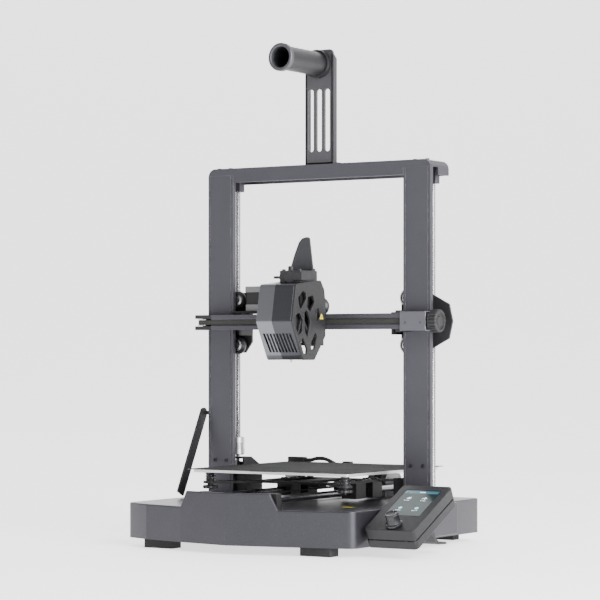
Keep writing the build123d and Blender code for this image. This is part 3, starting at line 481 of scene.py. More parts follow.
# finish of every CAD node
slotFinish = {
    "frame_metal": "frameMetal", "base_paint": "basePaint", "sheet_black": "sheetBlack",
    "steel": "steelBright", "aluminium": "bareAluminium", "brass": "brassTurned",
    "black_plastic": "blackPlastic", "grey_plastic": "greyPlastic", "cover_metal": "frameMetal",
    "rubber": "rubberBlack", "wheel_plastic": "wheelPlastic", "flex_coat": "flexCoat",
    "board_green": "boardGreen",
}
nodeFinish = {"y_rods": "rodSteel", "side_frame": "texturedPlastic", "extruder_body": "texturedPlastic",
              "control_knob": "glossKnob", "tensioner_knob": "texturedPlastic", "x_belt": "beltRubber",
              "y_belt": "beltRubber"}
screenGlass = makeScreenGlass()


def paintNodes():
    slots = {part["node"]: part["material_slot"] for part in frame["record"]["subparts"]}
    for name, node in frame["nodes"].items():
        chosen = nodeFinish.get(name) or slotFinish.get(slots[name])
        node.data.materials.clear()
        node.data.materials.append(screenGlass if slots[name] == "screen_glass" else finish[chosen])


paintNodes()
print("nodes painted")


# studio
studio = dict(floor=(0.9, 0.9, 0.9), wall=(1.0, 1.0, 1.0), worldStrength=0.5,
              keyPower=160.0, fillPower=2.0, topPower=16.0, paperGlow=1.5, turn=32.31,
              aim=(0.0, 0.0, 0.25), key=(2.2, -0.9, 1.1), fill=(-1.7, -1.9, 1.0), top=(-0.2, 0.5, 2.4))
cameraView = dict(place=(1.5999, -2.5849, 0.2505), lens=141.04, sensor=36.0, shiftY=0.0857, far=30.0)


def buildStage():
    # one sweep: floor, bend and back wall
    bm = bmesh.new()
    floorY, wallY, bend, width, height = -6.0, 5.0, 2.0, 9.0, 7.0
    profile = [(floorY, 0.0), (wallY - bend, 0.0)]
    profile += [(wallY - bend + bend * math.sin(a), bend - bend * math.cos(a))
                for a in [math.pi / 2 * k / 16 for k in range(1, 17)]]
    profile.append((wallY, height))
    rows = [[bm.verts.new((x, y, z - 0.0002)) for y, z in profile] for x in (-width, width)]
    for i in range(len(profile) - 1):
        bm.faces.new((rows[0][i], rows[1][i], rows[1][i + 1], rows[0][i + 1]))
    data = bpy.data.meshes.new("studioSweep")
    bm.to_mesh(data)
    bm.free()
    sweep = bpy.data.objects.new("studioSweep", data)
    sweep.matrix_world = Matrix.Rotation(math.radians(studio["turn"]), 4, "Z")
    bpy.context.scene.collection.objects.link(sweep)
    data.shade_smooth()
    material = bpy.data.materials.new("studioPaper")
    material.use_nodes = True
    tree, shader = principled(material)
    noise = addNode(tree, "ShaderNodeTexNoise", Scale=3.0, Detail=3.0)
    tree.links.new(addNode(tree, "ShaderNodeTexCoord").outputs["Object"], noise.inputs["Vector"])
    tint = mixColor(tree, noise.outputs[0], (*studio["floor"], 1), (0.9, 0.9, 0.9, 1))
    tree.links.new(tint, shader.inputs["Base Color"])
    shader.inputs["Roughness"].default_value = 0.7
    shader.inputs["Emission Color"].default_value = (1.0, 1.0, 1.0, 1.0)
    shader.inputs["Emission Strength"].default_value = studio["paperGlow"]
    data.materials.append(material)


def addLamp(name, spot, aim, size, power, sizeY=None):
    data = bpy.data.lights.new(name, "AREA")
    data.shape = "RECTANGLE"
    data.size = size
    data.size_y = sizeY or size
    data.energy = power
    lamp = bpy.data.objects.new(name, data)
    bpy.context.scene.collection.objects.link(lamp)
    lamp.location = spot
    lamp.rotation_euler = (Vector(aim) - Vector(spot)).to_track_quat("-Z", "Y").to_euler()
    return lamp


def buildStudio():
    buildStage()
    aim = studio["aim"]
    addLamp("softboxRight", studio["key"], aim, 1.6, studio["keyPower"], 2.0)
    addLamp("fillLeft", studio["fill"], aim, 1.4, studio["fillPower"], 1.8)
    addLamp("overhead", studio["top"], aim, 2.4, studio["topPower"])
    world = bpy.data.worlds.new("studioWorld")
    bpy.context.scene.world = world
    world.use_nodes = True
    back = world.node_tree.nodes["Background"]
    back.inputs[0].default_value = (*studio["wall"], 1)
    back.inputs[1].default_value = studio["worldStrength"]


def buildCamera():
    data = bpy.data.cameras.new("mainCamera")
    data.lens = cameraView["lens"]
    data.sensor_width = cameraView["sensor"]
    data.shift_y = cameraView["shiftY"]
    data.clip_end = cameraView["far"]
    camera = bpy.data.objects.new("mainCamera", data)
    bpy.context.scene.collection.objects.link(camera)
    camera.location = cameraView["place"]
    camera.rotation_euler = (math.radians(90), 0, math.radians(studio["turn"]))
    bpy.context.scene.camera = camera


buildStudio()
buildCamera()
print("studio built")

# base: pressed sheet housing with a folded front and a raised middle
def roundedLine(points, radii, steps=6):
    # a closed outline whose corners are arcs of the given radii
    line = []
    count = len(points)
    for i, (point, radius) in enumerate(zip(points, radii)):
        corner = Vector(point)
        before = (Vector(points[i - 1]) - corner).normalized()
        after = (Vector(points[(i + 1) % count]) - corner).normalized()
        if radius == 0:
            line.append(corner)
            continue
        half = before.angle(after) / 2
        reach = radius / math.tan(half)
        centre = corner + (before + after).normalized() * radius / math.sin(half)
        start = corner + before * reach - centre
        end = corner + after * reach - centre
        turn = start.angle_signed(end)
        for k in range(steps + 1):
            line.append(centre + Matrix.Rotation(-turn * k / steps, 2) @ start)
    return line


baseShape = dict(left=-187.0, right=157.0, rear=162.0, foldX=-5.0, foldLean=13.0,
                 corner=13.0, bottom=11.0, deck=56.0, humpTop=76.0, humpWall=4.0,
                 humpLeft=-82.0, humpRight=62.0, humpSlope=10.0)


def frontY(x, foldX):
    knots = [(-187, -160), (-146, -176), (-82, -191.2), (-5, -204), (foldX, -190.4 + (foldX - 62) * 0.25),
             (157, -165)]
    for (x0, y0), (x1, y1) in zip(knots, knots[1:]):
        if x <= x1:
            return y0 + (y1 - y0) * (x - x0) / (x1 - x0)
    return knots[-1][1]


def buildBase():
    s = baseShape
    lean = s["humpRight"] + s["foldLean"]
    stations = [(-146, -146), (s["humpLeft"],) * 2, (s["humpLeft"] + s["humpSlope"],) * 2, (-40, -40),
                (s["foldX"],) * 2, (25, 25), (s["humpRight"] - s["humpSlope"],) * 2, (s["humpRight"], lean)]
    raised = {2, 3, 4, 5, 6}
    bm = bmesh.new()
    rims = []
    for pick, foldX in ((1, lean), (0, s["humpRight"])):
        xs = [pair[pick] for pair in stations]
        points = [(s["left"], -160)] + [(x, frontY(x, foldX)) for x in xs] + [(s["right"], -165)]
        points += [(s["right"], s["rear"]), (s["left"], s["rear"])]
        radii = [s["corner"]] + [0] * len(xs) + [s["corner"], s["corner"], s["corner"]]
        rims.append(roundedLine(points, radii))
    first = 7
    bottom = [bm.verts.new(at(p.x, p.y, s["bottom"])) for p in rims[0]]
    top = [bm.verts.new(at(p.x, p.y, s["humpTop"] if i - first in raised else s["deck"]))
           for i, p in enumerate(rims[1])]
    count = len(top)
    for i in range(count):
        j = (i + 1) % count
        bm.faces.new((bottom[i], bottom[j], top[j], top[i]))
    for k in range(len(stations)):
        bm.edges.get((bottom[first + k], top[first + k])).smooth = False
    inner, foot = {}, {}
    for k in raised:
        p = rims[1][first + k]
        inner[k] = bm.verts.new(at(p.x, p.y + s["humpWall"], s["humpTop"]))
        foot[k] = bm.verts.new(at(p.x, p.y + s["humpWall"], s["deck"]))
    for k in (2, 3, 4, 5):
        bm.faces.new((top[first + k], top[first + k + 1], inner[k + 1], inner[k]))
        bm.faces.new((inner[k], inner[k + 1], foot[k + 1], foot[k]))
    ends = {}
    for k, end in ((2, 1), (6, 7)):
        p = rims[1][first + end]
        ends[end] = bm.verts.new(at(p.x, p.y + s["humpWall"], s["deck"]))
        bm.faces.new((top[first + end], top[first + k], inner[k], ends[end]))
        bm.faces.new((ends[end], inner[k], foot[k]))
    deck = [top[i] for i in range(count) if i - first not in raised]
    place = deck.index(top[first + 1]) + 1
    deck[place:place] = [ends[1]] + [foot[k] for k in (2, 3, 4, 5, 6)] + [ends[7]]
    bm.faces.new(deck)
    low, high = at(147, -25, 15), at(175, 65, 56)
    addOutline(bm, [(high.x, low.y), (high.x, high.y), (low.x, high.y), (low.x, low.y)], 2, low.z, high.z)
    meshPiece("baseHousing", bm, finish["basePaint"], "frame", bevel=1.6, replaces=("base_housing",),
              segments=3)


buildBase()


# head: brushed front cover, pierced side frame, cable guide
headShape = dict(left=-25.0, right=30.0, back=-25.3, wall=2.0, panel=3.0,
                 vents=9, ventLow=249.5, ventHigh=273.0, ventWidth=3.2, ventLean=0.10, fanX=2.5, fanZ=285.0)


def headOutline():
    s = headShape
    points = [(s["back"], 270.5), (s["back"], 313), (s["back"] - 2.7, 330), (-37, 342), (-96, 336),
              (-105, 288), (-82, 245.5), (-78, 239.5), (-52, 239.5)]
    radii = [4, 4, 3, 3, 5, 6, 4, 3, 4]
    return [at(0, p.x, p.y).yz for p in roundedLine(points, radii, 4)]


def buildHeadCover():
    s = headShape
    bm = bmesh.new()
    addOutline(bm, headOutline(), 0, at(s["left"], 0, 0).x, at(s["right"] - s["panel"], 0, 0).x)
    cover = meshPiece("headCover", bm, makeCover(), "print_head", smooth=False, replaces=("head_cover",))
    room = bmesh.new()
    inside = [(-20, 272), (-20, 333), (-38, 339.8), (-94.3, 334.1), (-102.9, 288), (-80.2, 246.6),
              (-76, 236), (-52, 236)]
    addOutline(room, [at(0, y, z).yz for y, z in inside], 0,
               at(s["left"] + s["wall"], 0, 0).x, at(s["right"], 0, 0).x)
    slots = bmesh.new()
    span = s["right"] - s["panel"] - s["left"]
    pitch = (span - 8) / s["vents"]
    for i in range(s["vents"]):
        x = s["left"] + 4 + pitch * (i + 0.5)
        ring = []
        for y in (-112, -72):
            for dx, z in ((-1, s["ventHigh"]), (1, s["ventHigh"]), (1, s["ventLow"]), (-1, s["ventLow"])):
                lean = (s["ventHigh"] - z) * s["ventLean"]
                ring.append(slots.verts.new(at(x + dx * s["ventWidth"] / 2 + lean, y, z)))
        slots.faces.new(ring[:4])
        slots.faces.new(ring[:3:-1])
        for k in range(4):
            j = (k + 1) % 4
            slots.faces.new((ring[k], ring[j], ring[4 + j], ring[4 + k]))
    topCut = bmesh.new()
    addBox(topCut, at(-14, -80, 336), at(s["right"], -34, 346))
    addBox(topCut, at(-30, -65, 342.2), at(s["right"], -47, 350))
    cutWith(cover, [looseObject("room", room), looseObject("slots", slots), looseObject("topCut", topCut)])
    finishEdges(cover, 1.1)


def makeCover():
    return makeCoverMetal("coverMetal", at(-1.5, 0, 0).x, (0.17, 0.175, 0.19), (0.062, 0.064, 0.072), 0.3)


def finishEdges(piece, width):
    softenEdges(piece, width, 40, 2)
    piece.data.shade_smooth()


def buildSideFrame():
    s = headShape
    low, high = at(s["right"] - s["panel"], 0, 0).x, at(s["right"], 0, 0).x
    bm = bmesh.new()
    addOutline(bm, headOutline(), 0, low, high)
    panel = meshPiece("sideFrame", bm, finish["texturedPlastic"], "print_head", smooth=False,
                      replaces=("side_frame",))
    holes = [[(-91, 319), (-80, 327), (-73, 325), (-72, 318), (-84, 305), (-88, 305)],
             [(-68, 320), (-56, 322), (-52, 314), (-63, 301), (-70, 308)],
             [(-97, 296), (-88, 300), (-80, 290), (-82, 276), (-90, 271), (-96, 280)],
             [(-76, 300), (-70, 303), (-62, 290), (-69, 268), (-75, 276)],
             [(-85, 262), (-80, 268), (-70, 254), (-71, 247), (-78, 248)],
             [(-60, 262), (-50, 275), (-46, 270), (-52, 254), (-60, 252)],
             [(-50, 304), (-42, 306), (-38, 296), (-46, 288)]]
    cutter = bmesh.new()
    for hole in holes:
        line = roundedLine(hole, [1.2] * len(hole), 3)
        addOutline(cutter, [at(0, p.x, p.y).yz for p in line], 0, low - 0.002, high + 0.002)
    cutWith(panel, [looseObject("holes", cutter)])
    finishEdges(panel, 0.7)
    ribs = bmesh.new()
    for start, end in (((-93, 321), (-60, 270)), ((-66, 326), (-88, 268)), ((-40, 318), (-46, 262))):
        addStrut(ribs, start, end, 2.6, s["right"] - s["panel"] - 3.5, s["right"] - s["panel"] + 0.4)
    meshPiece("sideRibs", ribs, finish["blackPlastic"], "print_head", bevel=0.5)


def addStrut(bm, start, end, width, x0, x1):
    a, b = Vector(start), Vector(end)
    side = (b - a).normalized().orthogonal() * width / 2
    line = [a + side, b + side, b - side, a - side]
    addOutline(bm, [at(0, p.x, p.y).yz for p in line], 0, at(x0, 0, 0).x, at(x1, 0, 0).x)


def buildWarningMark():
    # a plain yellow triangle with a dark core on the side frame, near its rear edge
    x = headShape["right"]
    for name, size, lift, shade in (("markPlate", 5.2, 0.25, "bodyYellow"),
                                    ("markCore", 1.5, 0.35, "sheetBlack")):
        bm = bmesh.new()
        corners = [(-35.5 + size * math.sin(a), 294.5 + size * math.cos(a))
                   for a in (0, 2 * math.pi / 3, 4 * math.pi / 3)]
        line = roundedLine(corners, [size * 0.14] * 3, 3)
        addOutline(bm, [at(0, p.x, p.y).yz for p in line], 0, at(x - 0.3, 0, 0).x, at(x + lift, 0, 0).x)
        meshPiece(name, bm, finish[shade], "print_head", bevel=0.08)


extruderShape = dict(
    blocks=(((-8, -76, 338), (24, -36, 354)), ((-12, -70, 306), (20, -28, 339)),
            ((-14, -62, 347), (-6, -49, 353)), ((14, -78, 341), (27, -60, 351)),
            ((-16, -64, 342.5), (-7, -61, 350)), ((-16, -51, 342.5), (-7, -48, 350))),
    screws=((-4, -72), (20, -72), (20, -41), (-4, -41)), top=354)


def buildExtruder():
    # geared extruder housing on top of the head, with its idler arm, screws and fan
    bm = bmesh.new()
    for low, high in extruderShape["blocks"]:
        addBox(bm, at(*low), at(*high))
    addTurned(bm, scaled([(4, 0), (4, 6), (3.2, 7)]), tall(at(2.5, -65, 353)), 24)
    addTurned(bm, scaled([(9, 0), (9, 3), (7.5, 4.2)]), alongY(at(8, -73.6, 345.5)), 32)
    meshPiece("extruderHousing", bm, finish["blackPlastic"], "print_head", bevel=1.0,
              replaces=("extruder_body",), segments=3)
    screws = bmesh.new()
    for x, y in extruderShape["screws"]:
        addSocketScrew(screws, tall(at(x, y, extruderShape["top"])), 2.4, 1.8)
    meshPiece("extruderScrews", screws, finish["darkScrew"], "print_head")
    x0, z0 = headShape["fanX"], headShape["fanZ"]
    outer = roundedLine([(x0 - 20, z0 - 20), (x0 - 20, z0 + 20), (x0 + 20, z0 + 20), (x0 + 20, z0 - 20)],
                        [3] * 4, 4)
    ringPiece = bmesh.new()
    addOutline(ringPiece, [at(p.x, 0, p.y).xz for p in outer], 1, at(0, -87, 0).y, at(0, -75, 0).y)
    fan = meshPiece("fanFrame", ringPiece, finish["blackPlastic"], "print_head", smooth=False,
                    replaces=("extruder_body",))
    hole = bmesh.new()
    addTurned(hole, scaled([(18.5, -30), (18.5, 30)]), alongY(at(x0, -81, z0)), 64)
    cutWith(fan, [looseObject("fanHole", hole)])
    hub = bmesh.new()
    addBox(hub, at(x0 - 19, -77, z0 - 2), at(x0 + 19, -75, z0 + 2))
    addTurned(hub, scaled([(8, 0), (8, 2)]), alongY(at(x0, -75, z0)), 32)
    meshPiece("fanHub", hub, finish["blackPlastic"], "print_head", bevel=0.3)
    finishEdges(fan, 0.4)


def buildCableGuide():
    # upright guide behind the extruder, wider at its foot
    bm = bmesh.new()
    points = [(-17.5, 346), (-12.5, 354.5), (21, 354.5), (18.6, 372), (15.4, 397), (11.5, 398), (4.5, 396.5),
              (-0.6, 391), (-7, 376)]
    line = roundedLine(points, [1, 2, 1.5, 8, 2.4, 2, 3, 6, 10], 4)
    addOutline(bm, [at(p.x, 0, p.y).xz for p in line], 1, at(0, -42, 0).y, at(0, -39.5, 0).y)
    meshPiece("cableGuide", bm, finish["guideFoam"], "print_head", bevel=0.8,
              replaces=("extruder_body",))
    foot = bmesh.new()
    addBox(foot, at(-12, -44, 353.6), at(22, -37, 357))
    meshPiece("guideFoot", foot, finish["blackPlastic"], "print_head", bevel=0.6)


buildHeadCover()
buildSideFrame()
buildWarningMark()
buildExtruder()
buildCableGuide()
print("head built")


# display: tilted two-part shell, glass with generic icons, ribbed rotary knob
displayShape = dict(left=163.5, frontY=-155.0, frontZ=35.0, tilt=26.3, width=69.5, length=110.0,
                    seam=14.0, depth=26.0, corner=5.0, glass=(10.5, 36.0, 60.0, 98.0),
                    knobX=37.5, knobY=12.0)
panelFrame = (Matrix.Translation(at(displayShape["left"], displayShape["frontY"], displayShape["frontZ"]))
              @ Matrix.Rotation(math.radians(displayShape["tilt"]), 4, "X"))


def addPanelPrism(bm, points, low, high):
    # points in panel millimetres, low and high above the glass
    rings = [[bm.verts.new(panelFrame @ Vector((x * mm, y * mm, z * mm))) for x, y in points]
             for z in (low, high)]
    bm.faces.new(list(reversed(rings[0])))
    bm.faces.new(rings[1])
    for i in range(len(points)):
        j = (i + 1) % len(points)
        bm.faces.new((rings[0][i], rings[0][j], rings[1][j], rings[1][i]))


def panelRect(x0, y0, x1, y1, radius=0.0):
    corners = [(x0, y0), (x1, y0), (x1, y1), (x0, y1)]
    if not radius:
        return corners
    return [tuple(p) for p in roundedLine(corners, [radius] * 4, 4)]


def buildDisplay():
    s = displayShape
    x0, y0, x1, y1 = s["glass"]
    whole = panelRect(0, 0, s["width"], s["length"], s["corner"])
    upper = bmesh.new()
    addPanelPrism(upper, whole, -s["seam"] + 0.4, 0)
    shell = meshPiece("displayTopShell", upper, finish["greyPlastic"], "frame", smooth=False,
                      replaces=("display_upper_shell",))
    pocket = bmesh.new()
    addPanelPrism(pocket, panelRect(x0 - 0.25, y0 - 0.25, x1 + 0.25, y1 + 0.25, 1.2), -1.4, 2)
    cutWith(shell, [looseObject("glassPocket", pocket)])
    finishEdges(shell, 1.0)
    lower = bmesh.new()
    inset = 1.3
    addPanelPrism(lower, panelRect(inset, inset, s["width"] - inset, s["length"] - inset, 4),
                  -s["seam"] - 1.1, -s["seam"] + 0.4)
    addPanelPrism(lower, whole, -s["depth"], -s["seam"] - 1.1)
    for share in (0.18, 0.82):
        x = s["width"] * share
        addPanelPrism(lower, panelRect(x - 1.6, 0.1, x + 1.6, 1.4), -s["seam"] - 1.2, -s["seam"] + 0.3)
    meshPiece("displayLowShell", lower, finish["greyPlastic"], "frame", bevel=0.7,
              replaces=("display_lower_shell",))
    mount = bmesh.new()
    addBox(mount, at(156.5, -118, 35.5), at(170, -84, 47))
    hook = [(-96, 42), (-66, 30), (-58, 19), (-52, 15.2), (-34, 13.4), (-30, 11.2), (-34, 10.4),
            (-54, 11.4), (-62, 15), (-72, 26), (-96, 38)]
    addOutline(mount, [at(0, y, z).yz for y, z in hook], 0, at(188.5, 0, 0).x, at(211.5, 0, 0).x)
    meshPiece("displayBracket", mount, finish["sheetBlack"], "frame", bevel=0.6,
              replaces=("display_lower_shell",))
    glass = bmesh.new()
    addPanelPrism(glass, panelRect(x0, y0, x1, y1, 1.0), -1.2, 0)
    meshPiece("displayGlass", glass, screenGlass, "frame", bevel=0.25, replaces=("display_glass",))


def buildScreenPicture():
    # a status bar and four generic icons, drawn as thin inlays on the glass
    x0, y0, x1, y1 = displayShape["glass"]
    width, height = x1 - x0, y1 - y0
    bar = bmesh.new()
    addPanelPrism(bar, panelRect(x0 + 1.5, y1 - 8.2, x1 - 1.5, y1 - 1.5, 0.5), -0.02, 0.03)
    meshPiece("screenBar", bar, finish["barGlyph"], "frame")
    pale, cyan = bmesh.new(), bmesh.new()
    addPanelPrism(pale, panelRect(x0 + width * 0.44, y1 - 5.7, x0 + width * 0.60, y1 - 3.9, 0.4), 0.03, 0.06)
    icons = ((0.27, 0.69, "drop"), (0.73, 0.69, "cross"), (0.27, 0.30, "ring"), (0.73, 0.30, "gear"))
    for column, row, kind in icons:
        x, y = x0 + width * column, y0 + height * row
        if kind == "drop":
            shape = [(x - 3.0, y - 1.2), (x + 0.4, y - 2.4), (x + 3.4, y + 2.4), (x - 0.4, y + 1.4)]
            addPanelPrism(pale, shape, 0.0, 0.05)
            addPanelPrism(cyan, panelRect(x + 0.6, y - 2.8, x + 3.8, y - 0.6, 0.5), 0.0, 0.04)
        elif kind == "cross":
            addPanelPrism(pale, panelRect(x - 0.8, y - 2.6, x + 0.8, y + 2.6, 0.4), 0.0, 0.05)
            addPanelPrism(pale, panelRect(x - 2.6, y - 0.8, x + 2.6, y + 0.8, 0.4), 0.0, 0.055)
            addPanelPrism(cyan, panelRect(x - 4.2, y - 2.6, x - 2.9, y + 1.0, 0.4), 0.0, 0.04)
        else:
            teeth = 8 if kind == "gear" else 24
            shape = []
            for k in range(teeth * 2):
                reach = 2.6 if k % 2 or kind == "ring" else 3.2
                angle = math.pi * k / teeth
                shape.append((x + reach * math.cos(angle), y + reach * math.sin(angle)))
            addPanelPrism(cyan, shape, 0.0, 0.04)
            addPanelPrism(pale, panelRect(x - 0.9, y - 0.9, x + 0.9, y + 0.9, 0.8), 0.0, 0.06)
        for k in range(3):
            reach = (1.9, 2.6, 1.4)[(k + (kind == "gear")) % 3]
            left = x - 4.2 + 2.9 * k
            addPanelPrism(pale, panelRect(left, y - 6.3, left + reach, y - 5.3), 0.0, 0.04)
    meshPiece("screenPale", pale, finish["paleGlyph"], "frame")
    meshPiece("screenCyan", cyan, finish["cyanGlyph"], "frame")


def buildKnob():
    s = displayShape
    knobFrame = panelFrame @ Matrix.Translation(Vector((s["knobX"] * mm, s["knobY"] * mm, 0)))
    profile = scaled([(2.2, 1.4), (10.4, 1.2), (10.5, 1.8), (10.4, 3.4), (8.6, 4.6), (8.1, 6.5), (8.0, 13.4),
                      (8.6, 15.0), (8.4, 16.2), (7.4, 16.95), (5.2, 16.7), (4.6, 16.2), (0.6, 16.1)])

    def ribs(radius, angle, height):
        if 4.8 * mm < height < 13.5 * mm and radius > 6 * mm:
            return radius * (1 - 0.035 * (0.5 + 0.5 * math.cos(28 * angle)))
        return radius

    bm = bmesh.new()
    addTurned(bm, profile, knobFrame, 168, ribs)
    meshPiece("controlKnob", bm, finish["glossKnob"], "knob", replaces=("control_knob",))
    mark = bmesh.new()
    ring = [knobFrame @ Vector((x * mm, y * mm, z * mm)) for z in (16.2, 17.0)
            for x, y in ((-0.45, 5.6), (0.45, 5.6), (0.45, 7.4), (-0.45, 7.4))]
    verts = [mark.verts.new(v) for v in ring]
    for face in ((3, 2, 1, 0), (4, 5, 6, 7), (0, 1, 5, 4), (1, 2, 6, 5), (2, 3, 7, 6), (3, 0, 4, 7)):
        mark.faces.new([verts[i] for i in face])
    meshPiece("knobMark", mark, finish["paleMark"], "knob")


def buildDeckLabel():
    # plain yellow sticker with a dark frame on the deck, right of the raised front
    for name, grow, lift, shade in (("labelFrame", 0.0, 0.10, "sheetBlack"),
                                    ("labelFace", -0.7, 0.16, "bodyYellow")):
        bm = bmesh.new()
        x0, y0, x1, y1 = 97.0 - grow, -99.0 - grow, 113.0 + grow, -88.0 + grow
        line = roundedLine([(x0, y0), (x1, y0), (x1, y1), (x0, y1)], [0.8] * 4, 3)
        addOutline(bm, [at(p.x, p.y, 0).xy for p in line], 2, at(0, 0, 56).z, at(0, 0, 56 + lift).z)
        meshPiece(name, bm, finish[shade], "frame")


buildDisplay()
buildScreenPicture()
buildKnob()
buildDeckLabel()
print("display built")


# lead screws: trapezoidal thread cut into the rod, with a coupler at the foot
screwShape = dict(radius=4.0, depth=0.75, lead=8.0, starts=4, couplerRadius=9.5,
                  couplers=((-1, 111.0, 135.0), (1, 57.0, 75.0)))


def addThread(bm, centre, z0, z1, radius, depth, pitch, perTurn=20, perPitch=4):
    rows = int((z1 - z0) / pitch * perPitch)
    lead = screwShape["lead"]
    rings = []
    for row in range(rows + 1):
        z = z0 + (z1 - z0) * row / rows
        ring = []
        for k in range(perTurn):
            angle = 2 * math.pi * k / perTurn
            phase = (z / pitch - angle / (2 * math.pi) * lead / pitch) % 1.0
            cut = min(1.0, max(0.0, 2.2 * abs(phase - 0.5) * 2 - 0.6))
            reach = (radius - depth * (1 - cut)) * mm
            spot = Vector((reach * math.cos(angle), reach * math.sin(angle), z * mm))
            ring.append(bm.verts.new(centre + spot))
        rings.append(ring)
    for lower, upper in zip(rings, rings[1:]):
        for k in range(perTurn):
            j = (k + 1) % perTurn
            bm.faces.new((lower[k], lower[j], upper[j], upper[k]))
    bm.faces.new(list(reversed(rings[0])))
    bm.faces.new(rings[-1])


def buildLeadScrew(side, couplerLow, couplerHigh):
    name = "left" if side < 0 else "right"
    node = f"lead_screw_{name}"
    low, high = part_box(node)
    centre = Vector(((low.x + high.x) / 2, (low.y + high.y) / 2, 0))
    bm = bmesh.new()
    pitch = screwShape["lead"] / screwShape["starts"]
    addThread(bm, centre, couplerHigh + 0.2, high.z / mm, screwShape["radius"], screwShape["depth"], pitch)
    meshPiece(f"{name}Thread", bm, finish["steelBright"], f"{name}_screw", replaces=(node,))
    coupler = bmesh.new()
    r = screwShape["couplerRadius"]
    rise = couplerHigh - couplerLow
    profile = scaled([(4.1, 0), (r - 0.8, 0), (r, 0.8), (r, rise * 0.3)])
    for k in range(4):
        z = rise * (0.34 + 0.09 * k)
        profile += scaled([(r, z), (r - 1.6, z + 0.1), (r - 1.6, z + rise * 0.03),
                           (r, z + rise * 0.03 + 0.1)])
    profile += scaled([(r, rise * 0.72), (r, rise - 0.8), (r - 0.8, rise), (4.1, rise)])
    addRing(coupler, profile, tall(centre + Vector((0, 0, couplerLow * mm))), 40)
    for z in (couplerLow + rise * 0.15, couplerLow + rise * 0.87):
        spot = centre + Vector((0, -(r - 0.5) * mm, z * mm))
        addSocketScrew(coupler, alongY(spot), 1.5, 0.8)
    meshPiece(f"{name}Coupler", coupler, finish["bareAluminium"], f"{name}_screw", replaces=(node,))


for coupled in screwShape["couplers"]:
    buildLeadScrew(*coupled)
print("screws built")


# tensioner: sheet cover and a knurled knob
def buildTensioner():
    low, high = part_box("tensioner_knob")
    axis = Vector((high.x - 12 * mm, (low.y + high.y) / 2, (low.z + high.z) / 2))

    def grip(radius, angle, height):
        if radius > 13 * mm and height > 1.5 * mm:
            return radius - 1.2 * mm * max(0.0, math.cos(18 * angle)) ** 2
        return radius

    bm = bmesh.new()
    profile = scaled([(3, 0), (13.8, 0), (14.5, 0.7), (14.5, 1.6), (14.5, 2.2), (14.5, 11.2), (13.6, 12.0),
                      (11.4, 12.0), (10.8, 10.6), (6.2, 10.6), (5.6, 11.6), (0.5, 11.6)])
    addTurned(bm, profile, alongX(axis), 216, grip)
    addTurned(bm, scaled([(2.5, -8), (2.5, 0.4)]), alongX(axis), 24)
    meshPiece("tensionKnob", bm, finish["texturedPlastic"], "tension_knob", replaces=("tensioner_knob",))
    low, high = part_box("tensioner_cover")
    cover = bmesh.new()
    t = 2.4 * mm
    rim = [(low.y, low.z), (high.y, low.z), (high.y, low.z + t), (low.y + t, low.z + t),
           (low.y + t, high.z - t), (high.y, high.z - t), (high.y, high.z), (low.y, high.z)]
    addOutline(cover, rim, 0, low.x, high.x)
    meshPiece("tensionCover", cover, finish["coverPlain"], "gantry", bevel=1.0,
              replaces=("tensioner_cover",), segments=3)
    screws = bmesh.new()
    for x in (0.22, 0.8):
        spot = Vector((low.x + (high.x - low.x) * x, low.y + 0.3 * mm, (low.z + high.z) / 2 - 2 * mm))
        addSocketScrew(screws, alongY(spot), 1.6, 0.3)
    meshPiece("coverScrews", screws, finish["darkScrew"], "gantry")


buildTensioner()
print("tensioner built")


# build plate: coated flexible sheet over a bright heated plate
def buildPlate():
    low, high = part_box("flex_plate")
    bodyLow = Vector((low.x, low.y + 7 * mm, low.z))
    line = [(bodyLow.x / mm, bodyLow.y / mm), (high.x / mm, bodyLow.y / mm), (high.x / mm, high.y / mm),
            (bodyLow.x / mm, high.y / mm)]
    middle = (low.x + high.x) / 2 / mm
    front = low.y / mm
    tab = [(bodyLow.x / mm, bodyLow.y / mm), (middle - 24, bodyLow.y / mm), (middle - 22, front + 1.5),
           (middle - 19, front), (middle + 19, front), (middle + 22, front + 1.5),
           (middle + 24, bodyLow.y / mm)]
    outline = tab + line[1:]
    radii = [4, 0, 3, 3, 3, 3, 0, 4, 4, 4]
    points = [(p.x * mm, p.y * mm) for p in roundedLine(outline, radii, 5)]
    coat = bmesh.new()
    addOutline(coat, points, 2, low.z + 0.25 * mm, high.z)
    meshPiece("plateCoat", coat, finish["flexCoat"], "build_plate", smooth=False, replaces=("flex_plate",))
    steel = bmesh.new()
    addOutline(steel, points, 2, low.z, low.z + 0.25 * mm)
    meshPiece("plateSteel", steel, finish["plateEdge"], "build_plate", smooth=False, replaces=("flex_plate",))
    low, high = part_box("heated_bed")
    bed = bmesh.new()
    edges = [(low.x / mm, low.y / mm), (high.x / mm, low.y / mm), (high.x / mm, high.y / mm),
             (low.x / mm, high.y / mm)]
    rounded = [(p.x * mm, p.y * mm) for p in roundedLine(edges, [6] * 4, 5)]
    addOutline(bed, rounded, 2, low.z, high.z)
    meshPiece("heatedBed", bed, finish["plateEdge"], "bed", bevel=0.4, replaces=("heated_bed",))


